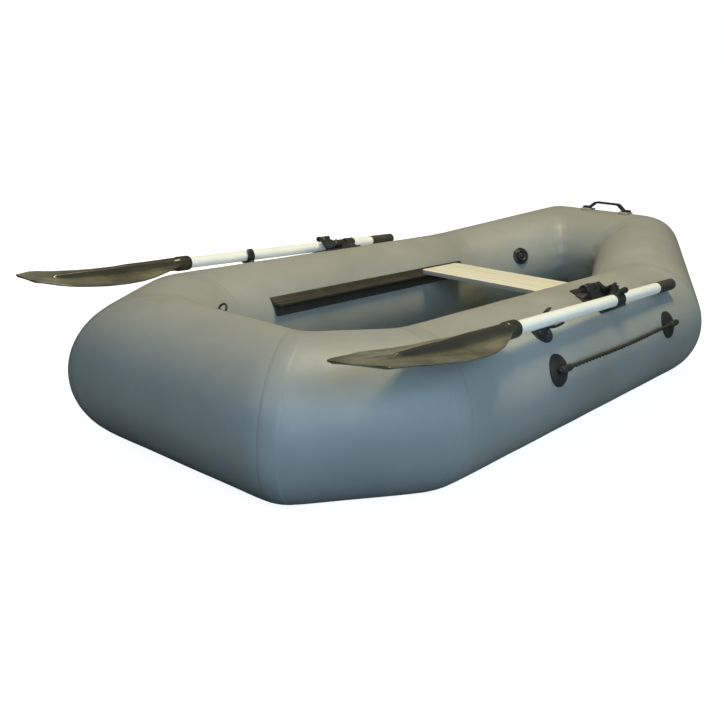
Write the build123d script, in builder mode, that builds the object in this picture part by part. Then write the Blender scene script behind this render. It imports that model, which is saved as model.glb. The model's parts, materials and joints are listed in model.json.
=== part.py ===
from build123d import *
import math
import os

os.makedirs("parts", exist_ok=True)

# Frame: +X to the bow, +Y to port, +Z up, the origin on the floor under the middle of the hull.

# Hull: eight inflated tubes mitred into one ring, all lengths in mm
tube_radius = 170.0
bow_radius = 141.5
side_half_width = 364.8
side_aft_x = -665.0
side_length = 1155.7
stern_run = 212.1
stern_half_width = 228.1
bow_run = 414.6
bow_half_width = 148.5
bow_rise = 121.9

# Bottom sheet
sheet_thickness = 3.0
sheet_height = 16.0

# Seat and its rails
rail_aft_x = -495.0
rail_fore_x = 375.0
rail_low_z = 234.0
rail_top_z = 279.0
ledge_top_z = 268.4
ledge_thickness = 6.0
ledge_reach_y = 190.0
rail_skin = 3.5
seat_aft_x = 135.0
seat_width = 190.0
seat_half_length = 212.0
seat_thickness = 12.0
slide_gap = 0.3

# Oars: the shaft passes a point this far outboard of the tube's axis and above it
shaft_radius = 15.0
collar_radius = 19.5
neck_radius = 17.0
grip_radius = 16.0
fit_gap = 0.1
oar_out = 124.5
oar_up = 159.4
oar_toe = 0.015
oar_rise = 0.027
port_oar_rise = 0.0125
starboard_clamp_x = -13.0
starboard_blade_end_x = -1010.0
port_blade_end_x = -1044.0
blade_length = 460.0
blade_half_width = 80.0
blade_belly = 330.0
blade_depth = -3.0
blade_sweep_radius = 3900.0
blade_camber_radius = 400.0
blade_thickness = 3.5
spine_start = 75.0
collar_length = 40.0
shaft_show = 758.0
grip_length = 110.0

# Oarlock: a barrel along the boat, a lever that dips in it and a clamp that swings on the lever
lock_turn_x = -5.0
barrel_angle = 72.0
barrel_distance = 187.0
barrel_radius = 12.0
pin_radius = 7.0
run_gap = 0.05
barrel_aft_x = -50.0
barrel_fore_x = 6.0
window_aft_x = -28.0
window_fore_x = -10.0
swing_angle = 42.0
ear_x = 28.0
ear_offset = 34.0
sleeve_radius = 20.0
sleeve_length = 38.0
sleeve_gap = 0.7
clip_gap = 1.2
bolt_radius = 4.0
knob_radius = 8.0
patch_skin = 3.0
lift = 0.3

side_fore_x = side_aft_x + side_length
stern_x = side_aft_x - stern_run
bow_x = side_fore_x + bow_run
axis_z = tube_radius
bow_z = axis_z + bow_rise


# ---------------------------------------------------------------- hull ring
# The corners of the ring's centre line, from the stern round to the bow, port side first.
corner_stern_port = Vector(stern_x, stern_half_width, axis_z)
corner_aft_port = Vector(side_aft_x, side_half_width, axis_z)
corner_fore_port = Vector(side_fore_x, side_half_width, axis_z)
corner_bow_port = Vector(bow_x, bow_half_width, bow_z)
corner_bow_starboard = Vector(bow_x, -bow_half_width, bow_z)
corner_fore_starboard = Vector(side_fore_x, -side_half_width, axis_z)
corner_aft_starboard = Vector(side_aft_x, -side_half_width, axis_z)
corner_stern_starboard = Vector(stern_x, -stern_half_width, axis_z)


def mitre(before, corner, after):
    """Plane that halves the angle at a corner, and how far the cut stretches the circle."""
    way_in = (corner - before).normalized()
    way_out = (after - corner).normalized()
    normal = (way_in + way_out).normalized()
    across = way_out.cross(way_in).normalized()
    stretch = 1.0 / way_in.dot(normal)
    return Plane(origin=corner, x_dir=across, z_dir=normal), stretch


mitre_stern_port = mitre(corner_stern_starboard, corner_stern_port, corner_aft_port)
mitre_aft_port = mitre(corner_stern_port, corner_aft_port, corner_fore_port)
mitre_fore_port = mitre(corner_aft_port, corner_fore_port, corner_bow_port)
mitre_bow_port = mitre(corner_fore_port, corner_bow_port, corner_bow_starboard)
mitre_bow_starboard = mitre(corner_bow_port, corner_bow_starboard, corner_fore_starboard)

# Stern tube, square across the boat
with BuildPart() as stern_tube:
    with BuildSketch(mitre(corner_aft_starboard, corner_stern_starboard, corner_stern_port)[0]):
        Ellipse(tube_radius, tube_radius * mitre_stern_port[1])
    with BuildSketch(mitre_stern_port[0]):
        Ellipse(tube_radius, tube_radius * mitre_stern_port[1])
    loft(ruled=True)

# Slanting stern quarter, port
with BuildPart() as stern_port_tube:
    with BuildSketch(mitre_stern_port[0]):
        Ellipse(tube_radius, tube_radius * mitre_stern_port[1])
    with BuildSketch(mitre_aft_port[0]):
        Ellipse(tube_radius, tube_radius * mitre_aft_port[1])
    loft(ruled=True)

with BuildPart() as stern_starboard_tube:
    mirror(stern_port_tube.part, about=Plane.XZ)

# Long straight side, port: a plain cylinder cut to its two mitres
with BuildPart() as port_side_tube:
    with BuildSketch(Plane(origin=(side_aft_x - 200, side_half_width, axis_z), z_dir=(1, 0, 0))):
        Circle(tube_radius)
    extrude(amount=side_length + 400)
    split(bisect_by=mitre_aft_port[0], keep=Keep.TOP)
    split(bisect_by=mitre_fore_port[0], keep=Keep.BOTTOM)

with BuildPart() as starboard_side_tube:
    mirror(port_side_tube.part, about=Plane.XZ)

# Rising, narrowing bow quarter, port: a long cone cut to its two mitres
bow_line = corner_bow_port - corner_fore_port
bow_way = bow_line.normalized()
overrun = 260.0
overrun_taper = (tube_radius - bow_radius) * overrun / bow_line.length
with BuildPart() as bow_port_tube:
    with BuildSketch(Plane(origin=corner_fore_port - bow_way * overrun, z_dir=bow_way)):
        Circle(tube_radius + overrun_taper)
    with BuildSketch(Plane(origin=corner_bow_port + bow_way * overrun, z_dir=bow_way)):
        Circle(bow_radius - overrun_taper)
    loft(ruled=True)
    split(bisect_by=mitre_fore_port[0], keep=Keep.TOP)
    split(bisect_by=mitre_bow_port[0], keep=Keep.BOTTOM)

with BuildPart() as bow_starboard_tube:
    mirror(bow_port_tube.part, about=Plane.XZ)

# Bow tube, across the raised nose
with BuildPart() as bow_tube:
    with BuildSketch(mitre_bow_port[0]):
        Ellipse(bow_radius, bow_radius * mitre_bow_port[1])
    with BuildSketch(mitre_bow_starboard[0]):
        Ellipse(bow_radius, bow_radius * mitre_bow_starboard[1])
    loft(ruled=True)

# Bottom sheet, flat under the crew and folded up under the bow, trimmed by the ring of tubes
bow_slope = bow_rise / bow_run
fold_x = side_fore_x - 20
with BuildPart() as floor_sheet:
    with BuildSketch(Plane.XY):
        with BuildLine():
            Polyline(
                (stern_x, stern_half_width),
                (side_aft_x, side_half_width),
                (side_fore_x, side_half_width),
                (bow_x, bow_half_width),
                (bow_x, -bow_half_width),
                (side_fore_x, -side_half_width),
                (side_aft_x, -side_half_width),
                (stern_x, -stern_half_width),
                close=True,
            )
        make_face()
    extrude(amount=400)
    with BuildSketch(Plane.XZ) as sheet_profile:
        with BuildLine():
            Polyline(
                (stern_x - 50, sheet_height),
                (fold_x, sheet_height),
                (bow_x + 50, sheet_height + (bow_x + 50 - fold_x) * bow_slope),
                (bow_x + 50, sheet_height + sheet_thickness + (bow_x + 50 - fold_x) * bow_slope),
                (fold_x, sheet_height + sheet_thickness),
                (stern_x - 50, sheet_height + sheet_thickness),
                close=True,
            )
        make_face()
    extrude(amount=500, both=True, mode=Mode.INTERSECT)
    add(stern_tube.part, mode=Mode.SUBTRACT)
    add(stern_port_tube.part, mode=Mode.SUBTRACT)
    add(stern_starboard_tube.part, mode=Mode.SUBTRACT)
    add(port_side_tube.part, mode=Mode.SUBTRACT)
    add(starboard_side_tube.part, mode=Mode.SUBTRACT)
    add(bow_port_tube.part, mode=Mode.SUBTRACT)
    add(bow_starboard_tube.part, mode=Mode.SUBTRACT)
    add(bow_tube.part, mode=Mode.SUBTRACT)


# ---------------------------------------------------------------- seat and rails
# Rail: a curved skin glued to the tube's inner face, with a level ledge standing out of it
rail_length = rail_fore_x - rail_aft_x
rail_plane = Plane(origin=(rail_aft_x, 0, 0), x_dir=(0, 1, 0), z_dir=(1, 0, 0))
with BuildPart() as port_seat_rail:
    with BuildSketch(rail_plane):
        with Locations((side_half_width, axis_z)):
            Circle(tube_radius + lift + rail_skin)
            Circle(tube_radius + lift, mode=Mode.SUBTRACT)
        with Locations((ledge_reach_y + 30, (rail_low_z + rail_top_z) / 2)):
            Rectangle(80, rail_top_z - rail_low_z, mode=Mode.INTERSECT)
        with Locations((ledge_reach_y + 18, ledge_top_z - ledge_thickness / 2)):
            Rectangle(36, ledge_thickness)
        with Locations((side_half_width, axis_z)):
            Circle(tube_radius + lift, mode=Mode.SUBTRACT)
    extrude(amount=rail_length)

with BuildPart() as starboard_seat_rail:
    mirror(port_seat_rail.part, about=Plane.XZ)

# Seat board, resting on both ledges
seat_bottom_z = ledge_top_z + slide_gap
with BuildPart() as seat_board:
    with BuildSketch(Plane.XY.offset(seat_bottom_z)):
        with Locations((seat_aft_x + seat_width / 2, 0)):
            RectangleRounded(seat_width, 2 * seat_half_length, 12)
    extrude(amount=seat_thickness)


# ---------------------------------------------------------------- starboard oar
# A point beside the starboard tube: its x, how far outboard of the tube's axis, how high above it
def beside(x, out, up):
    return Vector(x, -side_half_width - out, axis_z + up)


oar_direction = Vector(1, oar_toe, -oar_rise).normalized()
clamp_point = beside(starboard_clamp_x, oar_out, oar_up)

# The oar swings in a plane that slopes down outboard, clear of the tube and of the barrel
swing_lean = math.radians(swing_angle)
swing_direction = Vector(0, -math.cos(swing_lean), math.sin(swing_lean))
outward = Vector(0, -math.sin(swing_lean), -math.cos(swing_lean))
along = Vector(1, 0, 0)


def along_oar(x):
    """The point of the starboard oar's centre line at this x."""
    return clamp_point + oar_direction * ((x - starboard_clamp_x) / oar_direction.X)


collar_end_x = starboard_blade_end_x + blade_length + collar_length
grip_start_x = collar_end_x + shaft_show
plug_length = 6.0

with BuildPart() as starboard_oar_shaft:
    with BuildSketch(Plane(origin=along_oar(collar_end_x - collar_length), z_dir=oar_direction)):
        Circle(shaft_radius)
    extrude(amount=collar_length + shaft_show + grip_length - plug_length)

# Grip: a sleeve with a closed, rounded end
with BuildPart() as starboard_oar_grip:
    with BuildSketch(Plane(origin=along_oar(grip_start_x), z_dir=oar_direction)):
        Circle(grip_radius)
    extrude(amount=grip_length)
    fillet(edges().sort_by(Axis.X)[-1], 4)
    with BuildSketch(Plane(origin=along_oar(grip_start_x), z_dir=oar_direction)):
        Circle(shaft_radius + fit_gap)
    extrude(amount=grip_length - plug_length + fit_gap, mode=Mode.SUBTRACT)

# Blade: a spoon, cambered across and curved up lengthwise to a tip that is cut slantwise
level = Vector(0, 0, 1).cross(oar_direction).normalized()
blade_up = oar_direction.cross(level)
blade_side = blade_up.cross(oar_direction)
tip_point = along_oar(starboard_blade_end_x)
neck_point = along_oar(starboard_blade_end_x + blade_length)
spine_point = tip_point + oar_direction * spine_start + blade_up * 9
spine_direction = (neck_point - spine_point).normalized()
belly_point = tip_point + oar_direction * blade_belly - blade_up * blade_depth
spoon_axis = Axis(origin=belly_point + blade_up * blade_sweep_radius, direction=blade_side)
neck_angle = (blade_length + 10 - blade_belly) / blade_sweep_radius
neck_rise = blade_sweep_radius * (1 - math.cos(neck_angle))
neck_run = blade_sweep_radius * math.sin(neck_angle)
spoon_plane = Plane(
    origin=belly_point + oar_direction * neck_run + blade_up * neck_rise,
    x_dir=blade_side,
    z_dir=oar_direction * math.cos(neck_angle) + blade_up * math.sin(neck_angle),
)
spoon_turn = math.degrees((blade_length + 30) / blade_sweep_radius)
with BuildPart() as starboard_oar_blade:
    with BuildSketch(spoon_plane):
        with Locations((0, blade_camber_radius)):
            Circle(blade_camber_radius + blade_thickness / 2)
            Circle(blade_camber_radius - blade_thickness / 2, mode=Mode.SUBTRACT)
        with Locations((0, 15)):
            Rectangle(2 * blade_half_width + 6, 60, mode=Mode.INTERSECT)
    revolve(axis=spoon_axis, revolution_arc=spoon_turn)
    with BuildSketch(Plane(origin=tip_point - blade_up * 60, x_dir=oar_direction, z_dir=blade_up)):
        with BuildLine():
            Polyline(
                (-14, 47),
                (95, 76),
                (190, blade_half_width),
                (270, 73),
                (345, 52),
                (415, 32),
                (blade_length + 10, neck_radius - 2),
                (blade_length + 10, 2 - neck_radius),
                (415, -32),
                (345, -52),
                (270, -73),
                (190, -blade_half_width),
                (95, -76),
                (14, -47),
                close=True,
            )
        make_face()
        fillet(vertices().sort_by(Axis.X)[:2], 12)
    extrude(amount=120, mode=Mode.INTERSECT)
    # the spine swells from the blade into the collar round the shaft
    with BuildSketch(Plane(origin=spine_point, z_dir=spine_direction)):
        Circle(5)
    with BuildSketch(Plane(origin=neck_point, z_dir=spine_direction)):
        Circle(neck_radius)
    loft(ruled=True)
    with BuildSketch(Plane(origin=neck_point, z_dir=oar_direction)):
        Circle(collar_radius)
    extrude(amount=collar_length)
    with BuildSketch(Plane(origin=neck_point, z_dir=oar_direction)):
        Circle(shaft_radius + fit_gap)
    extrude(amount=collar_length, mode=Mode.SUBTRACT)

# The port oar is the same oar mirrored, slid along its own line and tipped about its own clamp
port_shift = port_blade_end_x - starboard_blade_end_x
port_clamp_x = 2 * lock_turn_x - starboard_clamp_x
port_clamp_point = Vector(port_clamp_x, -clamp_point.Y, clamp_point.Z)
port_gap = starboard_clamp_x - (port_clamp_x - port_shift)
port_slide = Vector(port_shift, -port_gap * oar_toe, -port_gap * oar_rise)
port_tip = Rot(0, math.degrees(port_oar_rise - oar_rise), 0)
port_place = Pos(port_clamp_point) * port_tip * Pos(port_slide - port_clamp_point)
with BuildPart() as port_oar_shaft:
    add(port_place * mirror(starboard_oar_shaft.part, about=Plane.XZ, mode=Mode.PRIVATE))

with BuildPart() as port_oar_grip:
    add(port_place * mirror(starboard_oar_grip.part, about=Plane.XZ, mode=Mode.PRIVATE))

with BuildPart() as port_oar_blade:
    add(port_place * mirror(starboard_oar_blade.part, about=Plane.XZ, mode=Mode.PRIVATE))


# ---------------------------------------------------------------- starboard oarlock
barrel_lean = math.radians(barrel_angle)
barrel_out = barrel_distance * math.cos(barrel_lean)
barrel_up = barrel_distance * math.sin(barrel_lean)
barrel_centre = (barrel_out, barrel_up)
barrel_length = barrel_fore_x - barrel_aft_x
ear_point = clamp_point + along * (ear_x - starboard_clamp_x) - outward * ear_offset
lever_plane = Plane(origin=ear_point, x_dir=along, z_dir=swing_direction)
patch_mid_x = 14.0
patch_half_length = 95.0
patch_half_width = 50.0
patch_lean = math.radians(66)
patch_normal = Vector(0, -math.cos(patch_lean), math.sin(patch_lean))
tube_plane = Plane(origin=(0, -side_half_width, axis_z), x_dir=(0, -1, 0), z_dir=(-1, 0, 0))

ramp_plane = Plane(
    origin=(barrel_aft_x, -side_half_width - barrel_out, axis_z), x_dir=(1, 0, 0), z_dir=(0, -1, 0)
)

# Pointed rubber patch that glues the lock to the tube
with BuildPart() as lock_patch:
    with BuildSketch(tube_plane.offset(-patch_mid_x - patch_half_length)):
        Circle(tube_radius + lift + patch_skin)
        Circle(tube_radius + lift, mode=Mode.SUBTRACT)
    extrude(amount=2 * patch_half_length)
    with BuildSketch(
        Plane(origin=(patch_mid_x, -side_half_width, axis_z), x_dir=(1, 0, 0), z_dir=patch_normal)
    ):
        with BuildLine():
            Polyline(
                (-patch_half_length, 0),
                (-70, patch_half_width),
                (70, patch_half_width),
                (patch_half_length, 0),
                (70, -patch_half_width),
                (-70, -patch_half_width),
                close=True,
            )
        make_face()
    extrude(amount=220, mode=Mode.INTERSECT)

# Base: a patch curved to the tube, and on it a saddle with the barrel between two lugs
with BuildPart() as starboard_oarlock_base:
    with BuildSketch(tube_plane.offset(-barrel_fore_x)):
        with Locations(barrel_centre):
            Circle(barrel_radius)
        with Locations((barrel_out - 18, 164), (barrel_out + 22, 154)):
            Circle(4)
        make_hull()
    extrude(amount=barrel_length)
    # the saddle's foot runs out aft as a ramp under the barrel's open end
    with BuildSketch(ramp_plane):
        with BuildLine():
            Polyline((0, 150), (0, 176), (-24, 164), (-30, 150), close=True)
        make_face()
    extrude(amount=11, both=True)
    # window between the lugs, where the turning pin shows
    with BuildSketch(tube_plane.offset(-window_fore_x)):
        with Locations(barrel_centre):
            Circle(pin_radius + 1.5)
        with Locations((barrel_out + 6, barrel_up + 12)):
            Rectangle(60, 24, rotation=barrel_angle - 90)
    extrude(amount=window_fore_x - window_aft_x, mode=Mode.SUBTRACT)
    with BuildSketch(tube_plane.offset(-barrel_fore_x)):
        with Locations(barrel_centre):
            Circle(pin_radius + run_gap)
    extrude(amount=barrel_length, mode=Mode.SUBTRACT)
    with BuildSketch(tube_plane.offset(-patch_mid_x - patch_half_length)):
        Circle(tube_radius + lift)
    extrude(amount=2 * patch_half_length, mode=Mode.SUBTRACT)
    add(lock_patch.part)

# Arm: a pin that turns in the barrel (the dip), a cheek on its end and a lever with the swing boss
pin_start_x = barrel_aft_x + 5
cheek_length = 11.0
ear_gap = 0.5
ear_thickness = 8.0
boss_top = -ear_thickness / 2 - ear_gap
barrel_local = lever_plane.to_local_coords(beside(barrel_fore_x, barrel_out, barrel_up))
with BuildPart() as starboard_oarlock_arm:
    with BuildSketch(lever_plane.offset(-48)):
        Circle(9)
        with Locations((barrel_fore_x + ear_gap + 9 - ear_x, barrel_local.Y)):
            Circle(9)
        make_hull()
    extrude(amount=48 + boss_top)
    with BuildSketch(Plane(origin=ear_point, x_dir=lever_plane.y_dir, z_dir=along)):
        with BuildLine():
            Polyline(
                (-10, boss_top),
                (9, boss_top),
                (9, -24),
                (36, -26),
                (36, -32),
                (30, -43),
                (20, -44),
                (-10, -29),
                close=True,
            )
        make_face()
    extrude(amount=40, both=True, mode=Mode.INTERSECT)
    with BuildSketch(tube_plane.offset(-barrel_fore_x - ear_gap)):
        with Locations(barrel_centre):
            Circle(barrel_radius - 0.5)
    extrude(amount=-cheek_length)
    with BuildSketch(tube_plane.offset(-pin_start_x)):
        with Locations(barrel_centre):
            Circle(pin_radius)
    extrude(amount=-(barrel_fore_x - pin_start_x + 2))
    with BuildSketch(lever_plane.offset(-22)):
        Circle(bolt_radius + run_gap)
    extrude(amount=30, mode=Mode.SUBTRACT)

# Clamp: a sleeve round the shaft, an ear with the swing bolt under it and a housing for the knob's screw
sleeve_start = clamp_point - along * (sleeve_length / 2)
housing_radius = 7.0
housing_offset = outward * -10 + swing_direction * 22.5
with BuildPart() as starboard_oarlock_clamp:
    with BuildSketch(Plane(origin=sleeve_start, z_dir=along)):
        Circle(sleeve_radius)
    extrude(amount=sleeve_length)
    with BuildSketch(Plane(origin=sleeve_start + housing_offset, z_dir=along)):
        Circle(housing_radius)
    extrude(amount=sleeve_length)
    with BuildSketch(lever_plane.offset(-ear_thickness / 2)):
        Circle(9)
        with Locations((-32, -26), (-50, -26)):
            Circle(8)
        make_hull()
    extrude(amount=ear_thickness)
    with BuildSketch(lever_plane.offset(ear_thickness / 2)):
        Circle(6.5)
    extrude(amount=3.5)
    with BuildSketch(lever_plane.offset(-20)):
        Circle(bolt_radius)
    extrude(amount=20)
    with BuildSketch(Plane(origin=clamp_point - along * 60, z_dir=along)):
        Circle(shaft_radius + sleeve_gap)
    extrude(amount=120, mode=Mode.SUBTRACT)

with BuildPart() as starboard_clamp_knob:
    with BuildSketch(Plane(origin=sleeve_start + along * sleeve_length + housing_offset, z_dir=along)):
        Circle(knob_radius)
        with PolarLocations(knob_radius + 1.2, 6):
            Circle(2.4, mode=Mode.SUBTRACT)
    extrude(amount=11)

# The port lock is the same lock turned half round about the upright through its middle
half_turn = Pos(lock_turn_x, 0, 0) * Rot(0, 0, 180) * Pos(-lock_turn_x, 0, 0)
with BuildPart() as port_oarlock_base:
    add(half_turn * starboard_oarlock_base.part)

with BuildPart() as port_oarlock_arm:
    add(half_turn * starboard_oarlock_arm.part)

with BuildPart() as port_oarlock_clamp:
    add(half_turn * starboard_oarlock_clamp.part)

with BuildPart() as port_clamp_knob:
    add(half_turn * starboard_clamp_knob.part)


# ---------------------------------------------------------------- oar rest on the tube
# A rubber patch with a springy cradle: a low outer horn and a taller inner horn hold the shaft
clip_x = -352.0
clip_width = 28.0
clip_point = along_oar(clip_x)
clip_out = -clip_point.Y - side_half_width
clip_up = clip_point.Z - axis_z
clip_far = math.hypot(clip_out, clip_up)
clip_normal = Vector(0, -clip_out, clip_up).normalized()
rest_plane = Plane(origin=clip_point, x_dir=clip_normal, z_dir=(-1, 0, 0))
with BuildPart() as clip_blank:
    with BuildSketch(tube_plane.offset(-clip_x - 40)):
        Circle(tube_radius + lift + patch_skin)
        Circle(tube_radius + lift, mode=Mode.SUBTRACT)
    extrude(amount=80)
    with BuildSketch(
        Plane(origin=(clip_x, -side_half_width, axis_z), x_dir=(1, 0, 0), z_dir=clip_normal)
    ):
        RectangleRounded(72, 66, 20)
    extrude(amount=220, mode=Mode.INTERSECT)
    with BuildSketch(rest_plane.offset(-clip_width / 2)):
        with BuildLine():
            Polyline(
                (tube_radius - clip_far, 27),
                (-20, 22),
                (-6, 25),
                (7, 31),
                (13, 29),
                (12, 20),
                (2, 12),
                (-4, -12),
                (-1, -20),
                (-4, -25),
                (-22, -21),
                (tube_radius - clip_far, -27),
                close=True,
            )
        make_face()
    extrude(amount=clip_width)
    with BuildSketch(tube_plane.offset(-clip_x - 40)):
        Circle(tube_radius + lift)
    extrude(amount=80, mode=Mode.SUBTRACT)

cradle_radius = shaft_radius + clip_gap
with BuildPart() as starboard_oar_clip:
    add(clip_blank.part)
    with BuildSketch(Plane(origin=along_oar(clip_x - clip_width), z_dir=oar_direction)):
        Circle(cradle_radius)
    extrude(amount=2 * clip_width, mode=Mode.SUBTRACT)

# The port oar lies a little lower in its clip, so that clip is bored on its own line
port_direction = Vector(1, -oar_toe, -port_oar_rise).normalized()
port_start = port_clamp_point + port_direction * (clip_x - clip_width - port_clamp_x)
with BuildPart() as port_oar_clip:
    mirror(clip_blank.part, about=Plane.XZ)
    with BuildSketch(Plane(origin=port_start, z_dir=port_direction)):
        Circle(cradle_radius)
    extrude(amount=2 * clip_width, mode=Mode.SUBTRACT)


# ---------------------------------------------------------------- lifelines
line_lean = math.radians(19.5)
line_far = 184.0
line_aft_x = -352.0
line_fore_x = 265.0
line_radius = 4.0
line_normal = Vector(0, -math.cos(line_lean), math.sin(line_lean))
line_root = Vector(0, -side_half_width, axis_z)
line_plane = Plane(origin=line_root, x_dir=(1, 0, 0), z_dir=line_normal)
line_start = line_root + line_normal * line_far + Vector(line_aft_x, 0, 0)
line_length = line_fore_x - line_aft_x
line_patch_radius = 37.0
with BuildPart() as starboard_line_patches:
    with BuildSketch(tube_plane.offset(-line_fore_x - line_patch_radius - 3)):
        Circle(tube_radius + lift + patch_skin)
        Circle(tube_radius + lift, mode=Mode.SUBTRACT)
    extrude(amount=line_length + 2 * line_patch_radius + 6)
    with BuildSketch(line_plane):
        with Locations((line_aft_x, 0), (line_fore_x, 0)):
            Circle(line_patch_radius)
    extrude(amount=200, mode=Mode.INTERSECT)
    with BuildSketch(line_plane.offset(tube_radius + 2)):
        with Locations((line_aft_x, 0), (line_fore_x, 0)):
            Rectangle(22, 14)
            chamfer(vertices(), 3)
    extrude(amount=18)
    with BuildSketch(Plane(origin=line_start - Vector(50, 0, 0), z_dir=(1, 0, 0))):
        Circle(line_radius + 0.2)
    extrude(amount=line_length + 100, mode=Mode.SUBTRACT)

with BuildPart() as port_line_patches:
    mirror(starboard_line_patches.part, about=Plane.XZ)

with BuildPart() as starboard_lifeline:
    with BuildSketch(Plane(origin=line_start - Vector(16, 0, 0), z_dir=(1, 0, 0))):
        Circle(line_radius)
    extrude(amount=line_length + 48)

with BuildPart() as port_lifeline:
    mirror(starboard_lifeline.part, about=Plane.XZ)


# ---------------------------------------------------------------- small fittings
# Air valves on the inner faces of the bow quarters
valve_lean = math.radians(22)
valve_rough = Vector(0, -1, 0)
valve_normal = (valve_rough - bow_way * valve_rough.dot(bow_way)).normalized()
valve_up = bow_way.cross(valve_normal) * -1
valve_aim = (valve_normal * math.cos(valve_lean) + valve_up * math.sin(valve_lean)).normalized()
valve_share = 0.48
valve_tube_radius = tube_radius + (bow_radius - tube_radius) * valve_share
valve_axis_point = corner_fore_port + (corner_bow_port - corner_fore_port) * valve_share
valve_seat = valve_axis_point + valve_aim * (valve_tube_radius + 1.5)
with BuildPart() as port_valve:
    with BuildSketch(Plane(origin=valve_seat - valve_aim * 8, z_dir=valve_aim)):
        Circle(25)
    extrude(amount=12)
    with BuildSketch(Plane(origin=valve_seat + valve_aim * 4, z_dir=valve_aim)):
        Circle(17)
    extrude(amount=7)
    add(bow_port_tube.part, mode=Mode.SUBTRACT)

with BuildPart() as starboard_valve:
    mirror(port_valve.part, about=Plane.XZ)

# Carrying handle over the top of the bow tube: a flat strap that arches between two pads
handle_y = -20.0
bow_top_z = bow_z + bow_radius
strap_width = 22.0
strap_thickness = 6.0
strap_height = 30.0
strap_plane = Plane(origin=(bow_x, handle_y, bow_top_z), x_dir=(0, 1, 0), z_dir=(1, 0, 0))
with BuildPart() as bow_handle:
    with BuildSketch(strap_plane.offset(-strap_width / 2)):
        with BuildLine():
            Polyline(
                (-86, 5.5),
                (-62, 5.5),
                (-40, strap_height - strap_thickness),
                (40, strap_height - strap_thickness),
                (62, 5.5),
                (86, 5.5),
                (86, 5.5 + strap_thickness),
                (65, 5.5 + strap_thickness),
                (43, strap_height),
                (-43, strap_height),
                (-65, 5.5 + strap_thickness),
                (-86, 5.5 + strap_thickness),
                close=True,
            )
        make_face()
        fillet(vertices().group_by(Axis.Y)[-2], 10)
        fillet(vertices().group_by(Axis.Y)[-1], 16)
    extrude(amount=strap_width)

with BuildPart() as handle_pads:
    with BuildSketch(Plane(origin=(bow_x, 0, bow_z), x_dir=(1, 0, 0), z_dir=(0, 0, 1))):
        with Locations((0, handle_y - 70), (0, handle_y + 70)):
            RectangleRounded(56, 36, 10)
    extrude(amount=220)
    with BuildSketch(Plane(origin=(bow_x, -300, bow_z), x_dir=(1, 0, 0), z_dir=(0, 1, 0))):
        Circle(bow_radius + lift + 5)
        Circle(bow_radius + lift, mode=Mode.SUBTRACT)
    extrude(amount=600, mode=Mode.INTERSECT)
    add(bow_handle.part, mode=Mode.SUBTRACT)

# Rope eye on the inner shoulder of the stern tube: a ring on a foot on a round patch
eye_y = 80.0
eye_lean = math.radians(60)
eye_normal = Vector(math.cos(eye_lean), 0, math.sin(eye_lean))
eye_side = Vector(math.sin(eye_lean), 0, -math.cos(eye_lean))
eye_root = Vector(stern_x, eye_y, axis_z)
eye_height = 17.0
eye_hole_radius = 8.0
eye_thickness = 8.0
eye_centre = eye_root + eye_normal * (tube_radius + eye_height)
with BuildPart() as stern_eye:
    with BuildSketch(Plane(origin=eye_root, x_dir=(0, 1, 0), z_dir=eye_normal)):
        Circle(24)
    extrude(amount=220)
    with BuildSketch(Plane(origin=(stern_x, eye_y - 60, axis_z), x_dir=(1, 0, 0), z_dir=(0, 1, 0))):
        Circle(tube_radius + lift + 3)
        Circle(tube_radius + lift, mode=Mode.SUBTRACT)
    extrude(amount=120, mode=Mode.INTERSECT)
    with BuildSketch(
        Plane(origin=eye_centre - eye_side * (eye_thickness / 2), x_dir=(0, 1, 0), z_dir=eye_side)
    ):
        Circle(14)
        with Locations((0, 14 - eye_height)):
            Rectangle(18, 22)
        with Locations((0, 2 - eye_height - 20)):
            Rectangle(40, 40, mode=Mode.SUBTRACT)
        Circle(eye_hole_radius, mode=Mode.SUBTRACT)
    extrude(amount=eye_thickness)

stern_tube.part.label = "stern_tube"
export_step(stern_tube.part, "parts/stern_tube.step")
stern_port_tube.part.label = "stern_port_tube"
export_step(stern_port_tube.part, "parts/stern_port_tube.step")
stern_starboard_tube.part.label = "stern_starboard_tube"
export_step(stern_starboard_tube.part, "parts/stern_starboard_tube.step")
port_side_tube.part.label = "port_side_tube"
export_step(port_side_tube.part, "parts/port_side_tube.step")
starboard_side_tube.part.label = "starboard_side_tube"
export_step(starboard_side_tube.part, "parts/starboard_side_tube.step")
bow_port_tube.part.label = "bow_port_tube"
export_step(bow_port_tube.part, "parts/bow_port_tube.step")
bow_starboard_tube.part.label = "bow_starboard_tube"
export_step(bow_starboard_tube.part, "parts/bow_starboard_tube.step")
bow_tube.part.label = "bow_tube"
export_step(bow_tube.part, "parts/bow_tube.step")
floor_sheet.part.label = "floor_sheet"
export_step(floor_sheet.part, "parts/floor_sheet.step")
port_seat_rail.part.label = "port_seat_rail"
export_step(port_seat_rail.part, "parts/port_seat_rail.step")
starboard_seat_rail.part.label = "starboard_seat_rail"
export_step(starboard_seat_rail.part, "parts/starboard_seat_rail.step")
seat_board.part.label = "seat_board"
export_step(seat_board.part, "parts/seat_board.step")
starboard_oar_shaft.part.label = "starboard_oar_shaft"
export_step(starboard_oar_shaft.part, "parts/starboard_oar_shaft.step")
starboard_oar_grip.part.label = "starboard_oar_grip"
export_step(starboard_oar_grip.part, "parts/starboard_oar_grip.step")
starboard_oar_blade.part.label = "starboard_oar_blade"
export_step(starboard_oar_blade.part, "parts/starboard_oar_blade.step")
port_oar_shaft.part.label = "port_oar_shaft"
export_step(port_oar_shaft.part, "parts/port_oar_shaft.step")
port_oar_grip.part.label = "port_oar_grip"
export_step(port_oar_grip.part, "parts/port_oar_grip.step")
port_oar_blade.part.label = "port_oar_blade"
export_step(port_oar_blade.part, "parts/port_oar_blade.step")
starboard_oarlock_base.part.label = "starboard_oarlock_base"
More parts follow.
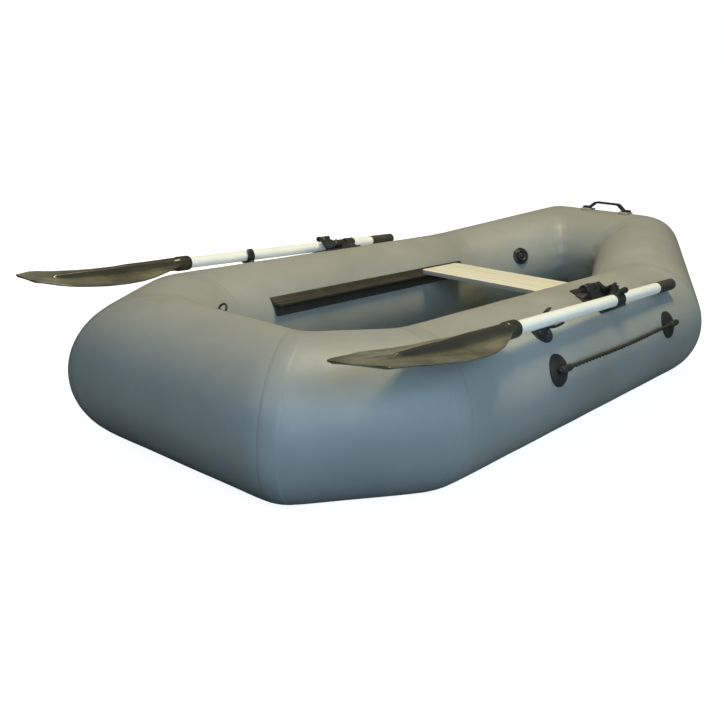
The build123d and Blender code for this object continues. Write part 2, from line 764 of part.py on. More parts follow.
export_step(starboard_oarlock_base.part, "parts/starboard_oarlock_base.step")
starboard_oarlock_arm.part.label = "starboard_oarlock_arm"
export_step(starboard_oarlock_arm.part, "parts/starboard_oarlock_arm.step")
starboard_oarlock_clamp.part.label = "starboard_oarlock_clamp"
export_step(starboard_oarlock_clamp.part, "parts/starboard_oarlock_clamp.step")
starboard_clamp_knob.part.label = "starboard_clamp_knob"
export_step(starboard_clamp_knob.part, "parts/starboard_clamp_knob.step")
port_oarlock_base.part.label = "port_oarlock_base"
export_step(port_oarlock_base.part, "parts/port_oarlock_base.step")
port_oarlock_arm.part.label = "port_oarlock_arm"
export_step(port_oarlock_arm.part, "parts/port_oarlock_arm.step")
port_oarlock_clamp.part.label = "port_oarlock_clamp"
export_step(port_oarlock_clamp.part, "parts/port_oarlock_clamp.step")
port_clamp_knob.part.label = "port_clamp_knob"
export_step(port_clamp_knob.part, "parts/port_clamp_knob.step")
starboard_oar_clip.part.label = "starboard_oar_clip"
export_step(starboard_oar_clip.part, "parts/starboard_oar_clip.step")
port_oar_clip.part.label = "port_oar_clip"
export_step(port_oar_clip.part, "parts/port_oar_clip.step")
starboard_line_patches.part.label = "starboard_line_patches"
export_step(starboard_line_patches.part, "parts/starboard_line_patches.step")
port_line_patches.part.label = "port_line_patches"
export_step(port_line_patches.part, "parts/port_line_patches.step")
starboard_lifeline.part.label = "starboard_lifeline"
export_step(starboard_lifeline.part, "parts/starboard_lifeline.step")
port_lifeline.part.label = "port_lifeline"
export_step(port_lifeline.part, "parts/port_lifeline.step")
port_valve.part.label = "port_valve"
export_step(port_valve.part, "parts/port_valve.step")
starboard_valve.part.label = "starboard_valve"
export_step(starboard_valve.part, "parts/starboard_valve.step")
bow_handle.part.label = "bow_handle"
export_step(bow_handle.part, "parts/bow_handle.step")
handle_pads.part.label = "handle_pads"
export_step(handle_pads.part, "parts/handle_pads.step")
stern_eye.part.label = "stern_eye"
export_step(stern_eye.part, "parts/stern_eye.step")

print("swing axis starboard point", ear_point, "direction", swing_direction)
print("dip axis starboard point", beside(barrel_fore_x, barrel_out, barrel_up))
print("stern eye centre", eye_centre, "axis", eye_side)
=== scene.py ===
# %% [markdown]
# # A small inflatable rowing boat
#
# The boat is a ring of eight air tubes with a fabric bottom, a plank seat on two ledges and two oars that
# lie along the tubes in swivelling oarlocks. The rigid parts come finished from the CAD model. This lesson
# adds what fabric, rope and moulded plastic look like: the rounded ring, its seam tapes, the bottom sheet,
# the scooped blades, the laid rope and the valves, and a material for every surface.

# %% Load the frame
import json
import math
import bpy
import numpy as np
from mathutils import Matrix, Vector


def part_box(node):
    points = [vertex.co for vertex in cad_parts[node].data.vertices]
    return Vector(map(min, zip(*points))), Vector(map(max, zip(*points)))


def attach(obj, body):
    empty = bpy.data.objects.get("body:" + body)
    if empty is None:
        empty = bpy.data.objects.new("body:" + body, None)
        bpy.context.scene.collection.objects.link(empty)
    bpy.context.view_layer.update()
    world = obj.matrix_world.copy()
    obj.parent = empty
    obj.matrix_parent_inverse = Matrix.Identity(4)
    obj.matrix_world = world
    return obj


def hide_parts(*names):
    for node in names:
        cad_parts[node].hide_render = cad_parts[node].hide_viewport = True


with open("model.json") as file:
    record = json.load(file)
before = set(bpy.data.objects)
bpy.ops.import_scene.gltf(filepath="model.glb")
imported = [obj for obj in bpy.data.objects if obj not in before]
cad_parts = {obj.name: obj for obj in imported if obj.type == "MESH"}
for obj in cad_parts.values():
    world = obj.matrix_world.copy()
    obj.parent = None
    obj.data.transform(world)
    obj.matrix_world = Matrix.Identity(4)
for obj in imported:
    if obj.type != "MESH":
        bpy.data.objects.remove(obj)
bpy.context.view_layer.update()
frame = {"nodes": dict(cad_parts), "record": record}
nodes = frame["nodes"]

# %% [markdown]
# ## Camera
#
# The boat is seen from behind its starboard quarter, a little above the tubes. A camera needs a place, a
# way to look and a lens. The way to look is built from three angles: yaw turns it about the upright, pitch
# tips it down and roll leans it, and the three axes of the camera's matrix follow from them.

# %% Place the camera
def add_object(name, data):
    """A new object with this data, linked to the scene."""
    added = bpy.data.objects.new(name, data)
    bpy.context.scene.collection.objects.link(added)
    return added


eye = Vector((-2.0663, -1.3737, 0.7841))
yaw = 0.687281
pitch = 0.290554
roll = 0.042298
ahead = Vector((math.cos(yaw) * math.cos(pitch), math.sin(yaw) * math.cos(pitch), -math.sin(pitch)))
level_right = Vector((math.sin(yaw), -math.cos(yaw), 0))
level_up = level_right.cross(ahead)
right = level_right * math.cos(roll) + level_up * math.sin(roll)
up = level_up * math.cos(roll) - level_right * math.sin(roll)
camera_data = bpy.data.cameras.new("camera")
camera_data.sensor_width = 36
camera_data.lens = 44.04
camera_data.clip_end = 100
camera = add_object("camera", camera_data)
camera.matrix_world = Matrix((
    (right.x, up.x, -ahead.x, eye.x),
    (right.y, up.y, -ahead.y, eye.y),
    (right.z, up.z, -ahead.z, eye.z),
    (0, 0, 0, 1),
))
bpy.context.scene.camera = camera
print("camera stands", round(eye.length, 2), "m from the middle of the boat")

# %% [markdown]
# ## Helpers for materials
#
# Every finish is a small graph of nodes, and the methods here keep each one short. A finish varies a little
# in colour and in roughness and has a bump, because a flat value never looks like a real surface. Only the
# zinc of two small bolts is plain.


# %% Node helpers
class Graph:
    """The nodes of a material or of the world, with a short way to add each kind."""

    def __init__(self, owner):
        owner.use_nodes = True
        self.tree = owner.node_tree

    def add(self, kind, inputs=None, **settings):
        """A node of this kind. Each input is a plain value or another node's output to link."""
        node = self.tree.nodes.new("ShaderNode" + kind)
        for name, value in settings.items():
            setattr(node, name, value)
        for key, value in (inputs or {}).items():
            if isinstance(value, bpy.types.NodeSocket):
                self.tree.links.new(value, node.inputs[key])
            else:
                node.inputs[key].default_value = value
        return node

    def place(self, source="Object", scale=(1, 1, 1), turn=(0, 0, 0)):
        """Object or UV coordinates through a Mapping node, in metres."""
        where = self.add("TexCoord").outputs[source]
        return self.add("Mapping", {"Vector": where, "Scale": scale, "Rotation": turn}).outputs["Vector"]

    def noise(self, where, scale, detail=4, roughness=0.55):
        """Cloudy noise between 0 and 1."""
        inputs = {"Vector": where, "Scale": scale, "Detail": detail, "Roughness": roughness}
        return self.add("TexNoise", inputs).outputs["Fac"]

    def remap(self, value, low, high, to_low=0, to_high=1):
        """Stretches low..high to to_low..to_high and clamps."""
        inputs = {"Value": value, "From Min": low, "From Max": high, "To Min": to_low, "To Max": to_high}
        return self.add("MapRange", inputs).outputs["Result"]

    def tint(self, tone, pattern, low, high, color, share=1):
        """The tone, mixed with up to this share of a colour where the pattern rises from low to high. The
        tone and the colour are each a tuple or an output."""
        tone, color = ((*c, 1) if isinstance(c, tuple) else c for c in (tone, color))
        inputs = {0: self.remap(pattern, low, high, 0, share), 6: tone, 7: color}
        return self.add("Mix", inputs, data_type="RGBA").outputs[2]

    def math(self, way, *values):
        """One Math node."""
        return self.add("Math", dict(enumerate(values)), operation=way).outputs[0]


class Finish(Graph):
    """A Principled material, with its plain values on the shader's own sockets."""

    def __init__(self, name, color, roughness, **sockets):
        self.material = bpy.data.materials.new(name)
        super().__init__(self.material)
        self.material.diffuse_color = (*color, 1)
        self.shader = self.tree.nodes["Principled BSDF"]
        for socket, value in {"Base Color": (*color, 1), "Roughness": roughness, **sockets}.items():
            self.shader.inputs[socket.replace("_", " ")].default_value = value

    def bump(self, height, distance, strength=1.0, under=None):
        """A bump of this depth in metres, on top of an earlier one if given."""
        inputs = {"Height": height, "Distance": distance, "Strength": strength}
        if under is not None:
            inputs["Normal"] = under
        result = self.add("Bump", inputs).outputs["Normal"]
        self.tree.links.new(result, self.shader.inputs["Normal"])
        return result

    def coat(self, tone, pattern, smooth, rough):
        """Sets the tone, and a roughness that runs from smooth to rough with the pattern."""
        self.tree.links.new(tone, self.shader.inputs["Base Color"])
        self.tree.links.new(self.remap(pattern, 0.3, 0.7, smooth, rough), self.shader.inputs["Roughness"])


# %% [markdown]
# ## Coated fabric
#
# The tubes are woven polyester with a smooth plastic coat: satin, slightly uneven in tone where it has been
# folded and handled, with a trace of the weave under the coat. The pattern reads the mesh's own UV map,
# in metres along the ring and round the tube, so the threads follow the fabric round every bend.


# %% Coated fabric
thread = 0.0011


def coated_fabric(name, color, roughness=0.46, wear=0.10):
    """Soft clouds of tone, dusty blotches, light scratches, and threads as a product of two sine waves."""
    skin = Finish(name, color, roughness, Specular_IOR_Level=0.42)
    body = skin.place()
    clouds = skin.noise(body, 3.2, 6, 0.6)
    blotches = skin.noise(body, 14.0, 5, 0.65)
    scratches = skin.noise(skin.place("UV", scale=(6, 60, 1), turn=(0, 0, 0.5)), 3.0, 8, 0.7)
    darker = tuple(c * (1 - wear) for c in color)
    lighter = tuple(c * (1 + wear) for c in color)
    dust = tuple(0.6 * c + 0.2 for c in color)
    tone = skin.tint(darker, clouds, 0.35, 0.65, lighter)
    tone = skin.tint(tone, blotches, 0.56, 0.74, dust, 0.22)
    tone = skin.tint(tone, scratches, 0.66, 0.72, lighter, 0.12)
    skin.coat(tone, blotches, roughness - 0.05, roughness + 0.07)
    apart = skin.add("SeparateXYZ", {"Vector": skin.place("UV")})
    turns = [skin.math("MULTIPLY", apart.outputs[axis], 2 * math.pi / thread) for axis in ("X", "Y")]
    warp, weft = (skin.math("SINE", turn) for turn in turns)
    first = skin.bump(skin.noise(body, 26.0, 3), 0.0006, 0.35)
    skin.bump(skin.math("MULTIPLY", warp, weft), 0.00004, 0.5, first)
    return skin.material


hull_color = (0.355, 0.372, 0.348)
hull_fabric = coated_fabric("hull_fabric", hull_color)
tape_fabric = coated_fabric("seam_tape_fabric", (0.345, 0.362, 0.342), 0.42, 0.07)
bottom_fabric = coated_fabric("bottom_fabric", (0.16, 0.19, 0.20), 0.5)
print("hull fabric", hull_color)

# %% [markdown]
# ## Helpers for surfaces
#
# A surface is a grid of points: rows run one way and columns the other. numpy works the whole grid out at
# once. One helper turns a grid into a mesh, closes it round where it should close, fills a pole at each end
# if asked, and gives it a UV map in metres.


# %% Grid to mesh
def grid_mesh(name, points, uv, wrap_rows=False, wrap_columns=False, caps=False, flip=False):
    """points is rows by columns by 3. Quads join each point to the next row and column, caps add a middle
    point at each end of the rows, and flip turns every face over."""
    rows, columns = points.shape[:2]
    row_steps = rows if wrap_rows else rows - 1
    column_steps = columns if wrap_columns else columns - 1
    i, j = (index.ravel() for index in np.meshgrid(np.arange(row_steps), np.arange(column_steps), indexing="ij"))
    ni, nj = (i + 1) % rows, (j + 1) % columns
    faces = [np.stack([i * columns + j, i * columns + nj, ni * columns + nj, ni * columns + j], 1)]
    quad = ((i, j), (i, j + 1), (i + 1, j + 1), (i + 1, j))
    uvs = [np.stack([np.stack([uv[0][row], uv[1][column]], 1) for row, column in quad], 1)]
    vertices = points.reshape(-1, 3)
    if caps:
        k = np.arange(column_steps)
        nk = (k + 1) % columns
        pole, last = len(vertices), (rows - 1) * columns
        vertices = np.concatenate([vertices, [points[0].mean(0), points[-1].mean(0)]])
        faces.append(np.stack([np.full_like(k, pole), nk, k], 1))
        faces.append(np.stack([np.full_like(k, pole + 1), last + k, last + nk], 1))
        uvs += [np.zeros((column_steps, 3, 2))] * 2
    if flip:
        faces, uvs = [face[:, ::-1] for face in faces], [corner[:, ::-1] for corner in uvs]
    loops = np.concatenate([face.ravel() for face in faces])
    sizes = np.concatenate([np.full(len(face), face.shape[1]) for face in faces])
    all_uv = np.concatenate([corner.reshape(-1, 2) for corner in uvs])
    mesh = bpy.data.meshes.new(name)
    mesh.vertices.add(len(vertices))
    mesh.vertices.foreach_set("co", vertices.astype(np.float32).ravel())
    mesh.loops.add(len(loops))
    mesh.loops.foreach_set("vertex_index", loops.astype(np.int32))
    mesh.polygons.add(len(sizes))
    mesh.polygons.foreach_set("loop_start", np.concatenate([[0], np.cumsum(sizes)[:-1]]).astype(np.int32))
    mesh.polygons.foreach_set("use_smooth", np.ones(len(sizes), bool))
    layer = mesh.uv_layers.new(name="UVMap")
    mesh.update(calc_edges=True)
    layer.data.foreach_set("uv", all_uv.astype(np.float32).ravel())
    mesh.validate()
    return mesh


def show(name, mesh, material, body, slot, *replaced):
    """Puts a finished mesh in the scene on its body, standing for the CAD nodes that it replaces."""
    mesh.materials.append(material)
    piece = add_object(name, mesh)
    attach(piece, body)
    if replaced:
        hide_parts(*replaced)
    return piece


# %% [markdown]
# ## The ring of tubes
#
# On the real boat each tube panel is cut to an angle and welded to the next, and air pressure then rounds
# the corner. One surface can do that for the whole ring. Straight lines run along every tube from one
# angled cut to the next, at a constant angle round the tube. Blurring the points along the ring then
# rounds each corner: tight on the inside of a bend, wide on the outside, as pressure does it.

# %% Corners of the ring
sides = ("starboard", "port")
side_low, side_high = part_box("starboard_side_tube")
tube_radius = (side_high.z - side_low.z) / 2
bow_radius = 0.1415
bow_rise = 0.1219
half_width = -(side_low.y + tube_radius)
corner_x = (-0.8771, -0.665, 0.4907, 0.9053)
corner_y = (0.2281, half_width, half_width, 0.1485)
corner_z = (tube_radius, tube_radius, tube_radius, tube_radius + bow_rise)
corner_r = (tube_radius, tube_radius, tube_radius, bow_radius)
port_corners = np.stack([corner_x, corner_y, corner_z], 1)
starboard_corners = port_corners[::-1] * (1, -1, 1)
corners = np.concatenate([port_corners, starboard_corners])
radii = np.array(corner_r + corner_r[::-1])
print("tube radius", round(tube_radius, 4), "half width", round(half_width, 4))


# %% The ring as one surface
def unit(vectors):
    """Vectors of the same directions, each one long."""
    return vectors / np.linalg.norm(vectors, axis=-1, keepdims=True)


def across_and_up(direction):
    """Level outward direction of a tube and the direction that completes the cross."""
    level = unit(np.cross([0, 0, 1], direction))
    return level, np.cross(direction, level)


def ring_surface(steps, columns, blur):
    """Points along the ring and round the tube. Each corner has one tilted ellipse: the circle of a tube
    pushed along the tube onto the plane that halves the corner. Points between two corners lie on the
    straight line between the two ellipses, and a Gaussian blur of the whole ring rounds the corners."""
    leaving = np.roll(corners, -1, 0) - corners
    lengths = np.linalg.norm(leaving, axis=1)
    leaving = leaving / lengths[:, None]
    coming = np.roll(leaving, 1, 0)
    normal = unit(leaving + coming)
    angle = np.linspace(0, 2 * np.pi, columns, endpoint=False)
    rims = []
    for direction in (leaving, coming):
        level, upward = across_and_up(direction)
        arm = level[:, None] * np.cos(angle)[None, :, None] + upward[:, None] * np.sin(angle)[None, :, None]
        arm = arm * radii[:, None, None]
        slide = (arm * normal[:, None]).sum(-1) / (direction * normal).sum(-1)[:, None]
        rims.append(corners[:, None] + arm - slide[..., None] * direction[:, None])
    rim = (rims[0] + rims[1]) / 2
    starts = np.concatenate([[0], np.cumsum(lengths)])
    along = np.arange(steps) / steps * starts[-1]
    which = np.searchsorted(starts, along, side="right") - 1
    share = ((along - starts[which]) / lengths[which])[:, None, None]
    sharp = rim[which] * (1 - share) + rim[(which + 1) % len(corners)] * share
    frequency = np.fft.rfftfreq(steps, starts[-1] / steps)
    filter_shape = np.exp(-2 * (np.pi * frequency * blur) ** 2)
    rounded = np.fft.irfft(np.fft.rfft(sharp, axis=0) * filter_shape[:, None, None], steps, axis=0)
    return rounded, along, starts[:-1], angle


ring_steps = 2240
ring_columns = 112
corner_blur = 0.024
ring, ring_along, seam_along, ring_angle = ring_surface(ring_steps, ring_columns, corner_blur)
ring_length = seam_along[-1] + np.linalg.norm(corners[-1] - corners[0])
print("ring is", round(ring_length, 3), "m round")


# %% Normals and puckers
def surface_normals(points):
    """Outward normals of a closed grid, from the cross product of its two directions."""
    down_rows = np.roll(points, -1, 0) - np.roll(points, 1, 0)
    along_columns = np.roll(points, -1, 1) - np.roll(points, 1, 1)
    return unit(np.cross(along_columns, down_rows))


ring_normal = surface_normals(ring)
ring_speed = np.linalg.norm(np.roll(ring, -1, 0) - np.roll(ring, 1, 0), axis=-1) / (2 * ring_length / ring_steps)
pucker_height, pucker_reach, puckers_round = 0.0009, 0.045, 19
wave_height, waves_along, waves_round = 0.00025, 23, 3
from_seam = np.abs((ring_along[:, None] - seam_along[None, :] + ring_length / 2) % ring_length - ring_length / 2)
near_seam = np.exp(-((from_seam.min(1) / pucker_reach) ** 2))[:, None]
inner_side = np.clip(-np.cos(ring_angle), 0, 1) ** 2
puckers = near_seam * (np.sin(puckers_round * ring_angle) * inner_side)[None]
waves = np.sin(2 * np.pi * waves_along * ring_along / ring_length)[:, None] * np.cos(waves_round * ring_angle)[None]
ring = ring + ring_normal * (pucker_height * puckers + wave_height * waves)[..., None]
print("deepest pucker", round(pucker_height * float(np.abs(puckers).max()) * 1000, 2), "mm")

# %% Hull skin
every = 4
skin_uv = (np.append(ring_along[::every], ring_length), np.append(ring_angle, 2 * np.pi) * tube_radius)
skin_mesh = grid_mesh("hull_skin", ring[::every], skin_uv, wrap_rows=True, wrap_columns=True)
hull_tubes = [name for name in nodes if name.endswith("_tube")]
show("hull_skin", skin_mesh, hull_fabric, "hull", "hull_fabric", *hull_tubes)
print("hull skin", len(skin_mesh.polygons), "quads stands for", hull_tubes)

# %% [markdown]
# ## Seam tapes
#
# A strip of the same fabric is glued over each corner seam. It shows as two fine parallel edges with a
# slight step. The strip is a band of the ring's own surface, raised by its thickness and turned down to
# the skin at both edges. Its half width is a real length, so on the wide outer side of a bend it covers
# less of the ring's angle than on the tight inner side.


# %% Seam tapes
def ring_at(position):
    """The ring's point and normal at a place along it, by straight lines between rows. position is an
    array of places by columns."""
    row = (position % ring_length) / ring_length * ring_steps
    low = np.floor(row).astype(int) % ring_steps
    share = (row - np.floor(row))[..., None]
    column = np.broadcast_to(np.arange(ring_columns), position.shape)
    high = (low + 1) % ring_steps
    point = ring[low, column] * (1 - share) + ring[high, column] * share
    normal = ring_normal[low, column] * (1 - share) + ring_normal[high, column] * share
    return point, normal


def tape_mesh(name, seam, half, thickness):
    """A band along one seam: each row is a place across the tape, lifted by the tape's thickness except at
    its two edges, which go just under the skin. The ring's speed on each side of the seam turns the real
    half width into a distance along the ring."""
    across = np.array([-1.0, -1.0, -0.985, -0.6, -0.2, 0.2, 0.6, 0.985, 1.0, 1.0])
    rise = np.array([-0.0006, 0.7 * thickness, thickness, thickness, thickness])
    rise = np.concatenate([rise, rise[::-1]])
    beside = np.array([seam - half, seam + half]) % ring_length / ring_length * ring_steps
    before, after = ring_speed[np.round(beside).astype(int) % ring_steps]
    reach = np.where(across[:, None] < 0, half / before, half / after)
    point, normal = ring_at(seam + across[:, None] * reach)
    band = point + normal * rise[:, None, None]
    uv = (across * half, np.append(ring_angle, 2 * np.pi) * tube_radius)
    return grid_mesh(name, band, uv, wrap_columns=True)


tape_half = 0.021
tape_thickness = 0.0004
for index, seam in enumerate(seam_along):
    mesh = tape_mesh(f"seam_tape_{index}", seam, tape_half, tape_thickness)
    show(f"seam_tape_{index}", mesh, tape_fabric, "hull", "hull_fabric")
print(len(seam_along), "tapes", 2 * tape_half, "m wide")

# %% [markdown]
# ## Bottom sheet
#
# The bottom is one sheet of heavier fabric welded under the ring. It is held stretched, sags a little
# between the tubes and rises at the bow. It is a grid from side to side and from stern to bow whose edge
# ends inside the tubes, where the real one is welded.


# %% Bottom sheet
def bottom_grid(rows, columns):
    """Height and width along the boat: the half width follows the tube's centre line less an inset, the
    height is flat and then rises with the bow, and a shallow sag and small ripples lie between the sides."""
    fold_x = corner_x[2] - 0.02
    slope = bow_rise / (corner_x[3] - corner_x[2])
    aft_end, fore_end = corner_x[0] + 0.052, corner_x[3] - 0.012
    x = np.linspace(aft_end, fore_end, rows)
    inset = np.interp(x, (aft_end, -0.62, corner_x[2], fore_end), (0.075, 0.05, 0.05, 0.006))
    half = np.interp(x, corner_x, corner_y) - inset
    base = 0.0175 + np.clip((x - fold_x) * slope, 0, None)
    across = np.linspace(-1, 1, columns)
    y = half[:, None] * across[None]
    room = np.clip(half / 0.31, 0.2, 1)[:, None] ** 2
    sag = -0.006 * (1 - across[None] ** 2) * room
    ripple = 0.0012 * np.sin(x[:, None] * 21 + 3 * across[None]) * (1 - across[None] ** 4) * room
    return np.stack([np.broadcast_to(x[:, None], y.shape), y, base[:, None] + sag + ripple], -1)


bottom = bottom_grid(160, 60)
bottom_width = float(bottom[:, :, 1].max() * 2)
steps = np.linalg.norm(np.diff(bottom, axis=0), axis=-1).mean(1)
bottom_uv = (np.append(0, np.cumsum(steps)), np.linspace(0, bottom_width, bottom.shape[1]))
bottom_mesh = grid_mesh("bottom_sheet", bottom, bottom_uv, flip=True)
bottom_sheet = show("bottom_sheet", bottom_mesh, bottom_fabric, "hull", "bottom_fabric", "floor_sheet")
thicken = bottom_sheet.modifiers.new("thickness", "SOLIDIFY")
thicken.thickness = 0.0012
thicken.offset = 0

# %% [markdown]
# ## Oars: where they lie
#
# Both oars are straight lines. The line runs through the middle of the shaft's two ends, which the CAD
# model gives. The blade and its collar are placed along that line, with the sideways direction level and
# the third direction nearly upright. The shaft and the grip stay as the CAD model has them.


# %% Oar lines
def mesh_points(mesh):
    """A mesh's points as an array."""
    flat = np.empty(3 * len(mesh.vertices))
    mesh.vertices.foreach_get("co", flat)
    return flat.reshape(-1, 3)


def oar_line(side):
    """Where the shaft starts, its direction to the grip, and the level and upright directions beside it."""
    points = mesh_points(nodes[side + "_oar_shaft"].data)
    end = 0.002
    middle_aft = points[points[:, 0] < points[:, 0].min() + end].mean(0)
    middle_fore = points[points[:, 0] > points[:, 0].max() - end].mean(0)
    along = unit(middle_fore - middle_aft)
    level, upright = across_and_up(along)
    return middle_aft, along, level, upright


oars = {side: oar_line(side) for side in sides}
for side, line in oars.items():
    print(side, "shaft starts", line[0].round(3), "direction", line[1].round(4))

# %% [markdown]
# ## Blades
#
# A spooned blade is a thin moulding. It starts as a collar round the shaft, a hollow spine fades out of it
# towards the tip, and on both sides of the spine a thin sheet droops a little to a rolled edge.
# The whole thing is one closed grid: rows run from tip to collar, and each row is a closed loop over the
# top and back under, so the moulding has a real thickness.

# %% Blade outline
blade_length = 0.460
blade_places = (0.0, 0.002, 0.006, 0.012, 0.095, 0.190, 0.270, 0.306, 0.350, 0.390, 0.420, 0.448, 0.460)
blade_halves = (0.0440, 0.0478, 0.0505, 0.0530, 0.0765, 0.0810, 0.0795, 0.0760, 0.0650, 0.0490, 0.0370,
                0.0240, 0.0180)
blade_sink = {"starboard": 0.0, "port": 0.007}
tip_cut = {"starboard": (-0.0105, -0.0215), "port": (0.030, 0.0)}
spine_places = (0.070, 0.076, 0.092, 0.200, 0.350, 0.460)
spine_halves = (0.0001, 0.0060, 0.0085, 0.0105, 0.0135, 0.0178)
half_sheet = 0.0016


def blade_outline(s):
    """Half width at a distance s from the tip: a tip with small rounded corners, widest at two fifths, and
    shoulders that run into the neck."""
    return np.interp(s, blade_places, blade_halves)


def blade_heights(s, out, half):
    """Top and bottom height above the oar's line at a distance s from the tip and a signed distance
    outboard. The sheet's middle follows a smooth curve that rises to the tip. Across, it leans up
    outboard and droops a little to both edges as a parabola, and the edge has a small rolled rim. The
    spine is an ellipse's curve with a level crest; the higher of the two wins, with a rounded inside
    corner between them."""
    middle = np.interp(s, (0, 0.05, 0.10, 0.15, 0.20, 0.25, 0.30, 0.36, 0.40, 0.46),
                       (0.0150, 0.0128, 0.0093, 0.0045, 0.0005, -0.0025, -0.0035, -0.0035, -0.0020, 0.0))
    camber = np.interp(s, (0, 0.20), (0.55, 0.90))
    lean, rim_height, soft = 0.069, 0.0026, 0.0050
    middle = middle + lean * out * np.clip(s / 0.06, 0.2, 1) - camber * out ** 2
    edge = np.clip((np.abs(out) - half + 0.006) / 0.006, 0, 1)
    middle = middle + rim_height * np.sin(np.pi * edge * 0.75) * np.clip((0.42 - s) / 0.06, 0, 1)
    wide = np.interp(s, spine_places, spine_halves)
    crest = np.interp(s, (0.070, 0.100, 0.30, 0.460), (0.008, 0.0180, 0.0182, 0.0178))
    inside = np.clip(1 - (out / wide) ** 2, 0, 1)
    spine = np.where(inside > 0, -0.006 + (crest + 0.006) * np.sqrt(inside), -0.03)
    top, low = middle + half_sheet, middle - half_sheet
    gap = np.clip(1 - np.abs(top - spine) / soft, 0, 1)
    pipe = -np.sqrt(np.clip(wide ** 2 - out ** 2, 0, None)) * np.clip((s - 0.36) / 0.08, 0, 1)
    return np.maximum(top, spine) + soft * gap ** 2 / 4, np.where(s > 0.36, np.minimum(low, pipe), low)


def blade_mesh(name, side):
    """Loops over the top and back under, at places that crowd together at the tip, the spine and the
    rims. The starboard tip is cut slantwise, so that its inboard corner reaches further aft, and the port
    blade is a little shorter. Each point also stores how thick the plastic is there. The material darkens
    the thick spine and rim to the plastic's own deep tint and paints light shining through the thin sheet."""
    start, along, level, upright = oars[side]
    inboard = 1 if side == "starboard" else -1
    s = np.concatenate([np.linspace(0, 0.016, 13)[:-1], np.linspace(0.016, 0.069, 20)[:-1],
                        np.linspace(0.069, 0.100, 20)[:-1], np.linspace(0.100, blade_length, 90)])[:, None]
    right_half = np.concatenate([np.linspace(0, 0.26, 26)[:-1], np.linspace(0.26, 0.90, 18)[:-1],
                                 np.linspace(0.90, 1, 9)])
    v = np.concatenate([-right_half[:0:-1], right_half])[None]
    half = blade_outline(s)
    y = half * v
    top, low = blade_heights(s, -inboard * y, half)
    edge = np.abs(v) > 0.9999
    top = np.where(edge, (top + low) / 2, top)
    slant = (tip_cut[side][0] + tip_cut[side][1] * v * inboard) * np.clip(1 - s / 0.12, 0, 1)
    wave = 0.0010 * np.sin(34 * s + 3 * v) * np.cos(9 * v + 11 * s) * (1 - v ** 4) * np.clip(s / 0.05, 0, 1)
    wave = wave * np.clip((0.40 - s) / 0.1, 0, 1) - blade_sink[side] * np.clip((0.44 - s) / 0.3, 0, 1)
    top, low = top + wave, low + wave
    back = slice(v.shape[1] - 2, 0, -1)
    loop_y = np.concatenate([y, y[:, back]], 1)
    loop_z = np.concatenate([top, low[:, back]], 1)
    reach = np.concatenate([s + slant, (s + slant)[:, back]], 1) - blade_length
    points = start + along * reach[..., None] + level * loop_y[..., None] + upright * loop_z[..., None]
    uv = (s[:, 0], np.linspace(0, 0.35, loop_y.shape[1] + 1))
    mesh = grid_mesh(name, points, uv, wrap_columns=True, caps=True, flip=True)
    wide = np.interp(s, spine_places, spine_halves)
    # thickness for the material: near 1 on the spine, where the plastic's deep tint shows, near 0 on the thin sheet,
    # which gets painted light shining through
    thick = np.clip((2.2 * wide - np.abs(loop_y)) / (1.5 * wide), 0, 1) * np.clip((s - 0.06) / 0.05, 0, 1)
    rim = 0.35 * np.clip((np.abs(loop_y) - half + 0.003) / 0.002, 0, 1)
    shade = np.append(np.maximum(thick, rim).ravel(), (0.0, 1.0))
    mesh.attributes.new("thick", "FLOAT", "POINT").data.foreach_set("value", shade.astype(np.float32))
    return mesh


# %% Smoky plastic
def smoky_plastic(name, thin, thick, gloss=0.4):
    """Moulded olive plastic: pale where it is thin, which is painted light shining through the sheet, and
    nearly black in its own deep tint on the thick spine, with flow marks along the blade, a few pale scuffs
    and a glossy uneven skin."""
    skin = Finish(name, thin, 0.26, IOR=1.5, Coat_Weight=gloss, Coat_Roughness=0.16)
    body = skin.place()
    clouds = skin.noise(body, 13.0, 4, 0.5)
    flow = skin.noise(skin.place("UV", scale=(5, 40, 1)), 2.2, 6, 0.6)
    scuffs = skin.noise(skin.place("UV", scale=(30, 160, 1), turn=(0, 0, 0.3)), 2.0, 6, 0.7)
    depth = skin.add("Attribute", attribute_name="thick").outputs["Fac"]
    pale = tuple(1.5 * c for c in thin)
    dim = tuple(0.62 * c for c in thin)
    tone = skin.tint(dim, clouds, 0.35, 0.65, pale)
    tone = skin.tint(tone, flow, 0.45, 0.75, dim, 0.55)
    # painted light: the thin colour is the sheet lit through from behind, and the thick colour is the plastic's own
    # deep tint on the spine
    tone = skin.tint(tone, depth, 0.0, 1.0, thick, 0.94)
    tone = skin.tint(tone, scuffs, 0.66, 0.72, (0.34, 0.33, 0.27), 0.25)
    skin.coat(tone, flow, 0.20, 0.38)
    ripples = skin.bump(skin.noise(body, 30.0, 3, 0.5), 0.0016, 0.5)
    skin.bump(skin.noise(body, 160.0, 3, 0.6), 0.0002, 0.4, ripples)
    return skin.material


# The first colour is the thin sheet with painted light shining through it, the second is the thick plastic's own
# tint.
blade_plastic = smoky_plastic("smoky_plastic", (0.175, 0.166, 0.112), (0.040, 0.036, 0.024))
collar_plastic = smoky_plastic("collar_plastic", (0.050, 0.046, 0.032), (0.050, 0.046, 0.032), 0.0)
for side in sides:
    show(side + "_blade", blade_mesh(side + "_blade", side), blade_plastic, side + "_oar", "blade_plastic")
print("blades", blade_length, "m long")

# %% [markdown]
# ## Collars
#
# The blade's collar is a sleeve round the end of the shaft with a thicker rim where the shaft goes in.
# A profile of distance along the oar and radius, carried round the oar's line, makes it.


# %% Turned pieces
def run_length(line):
    """The distance along a line at each of its points."""
    return np.append(0, np.cumsum(np.linalg.norm(np.diff(line, axis=0), axis=1)))


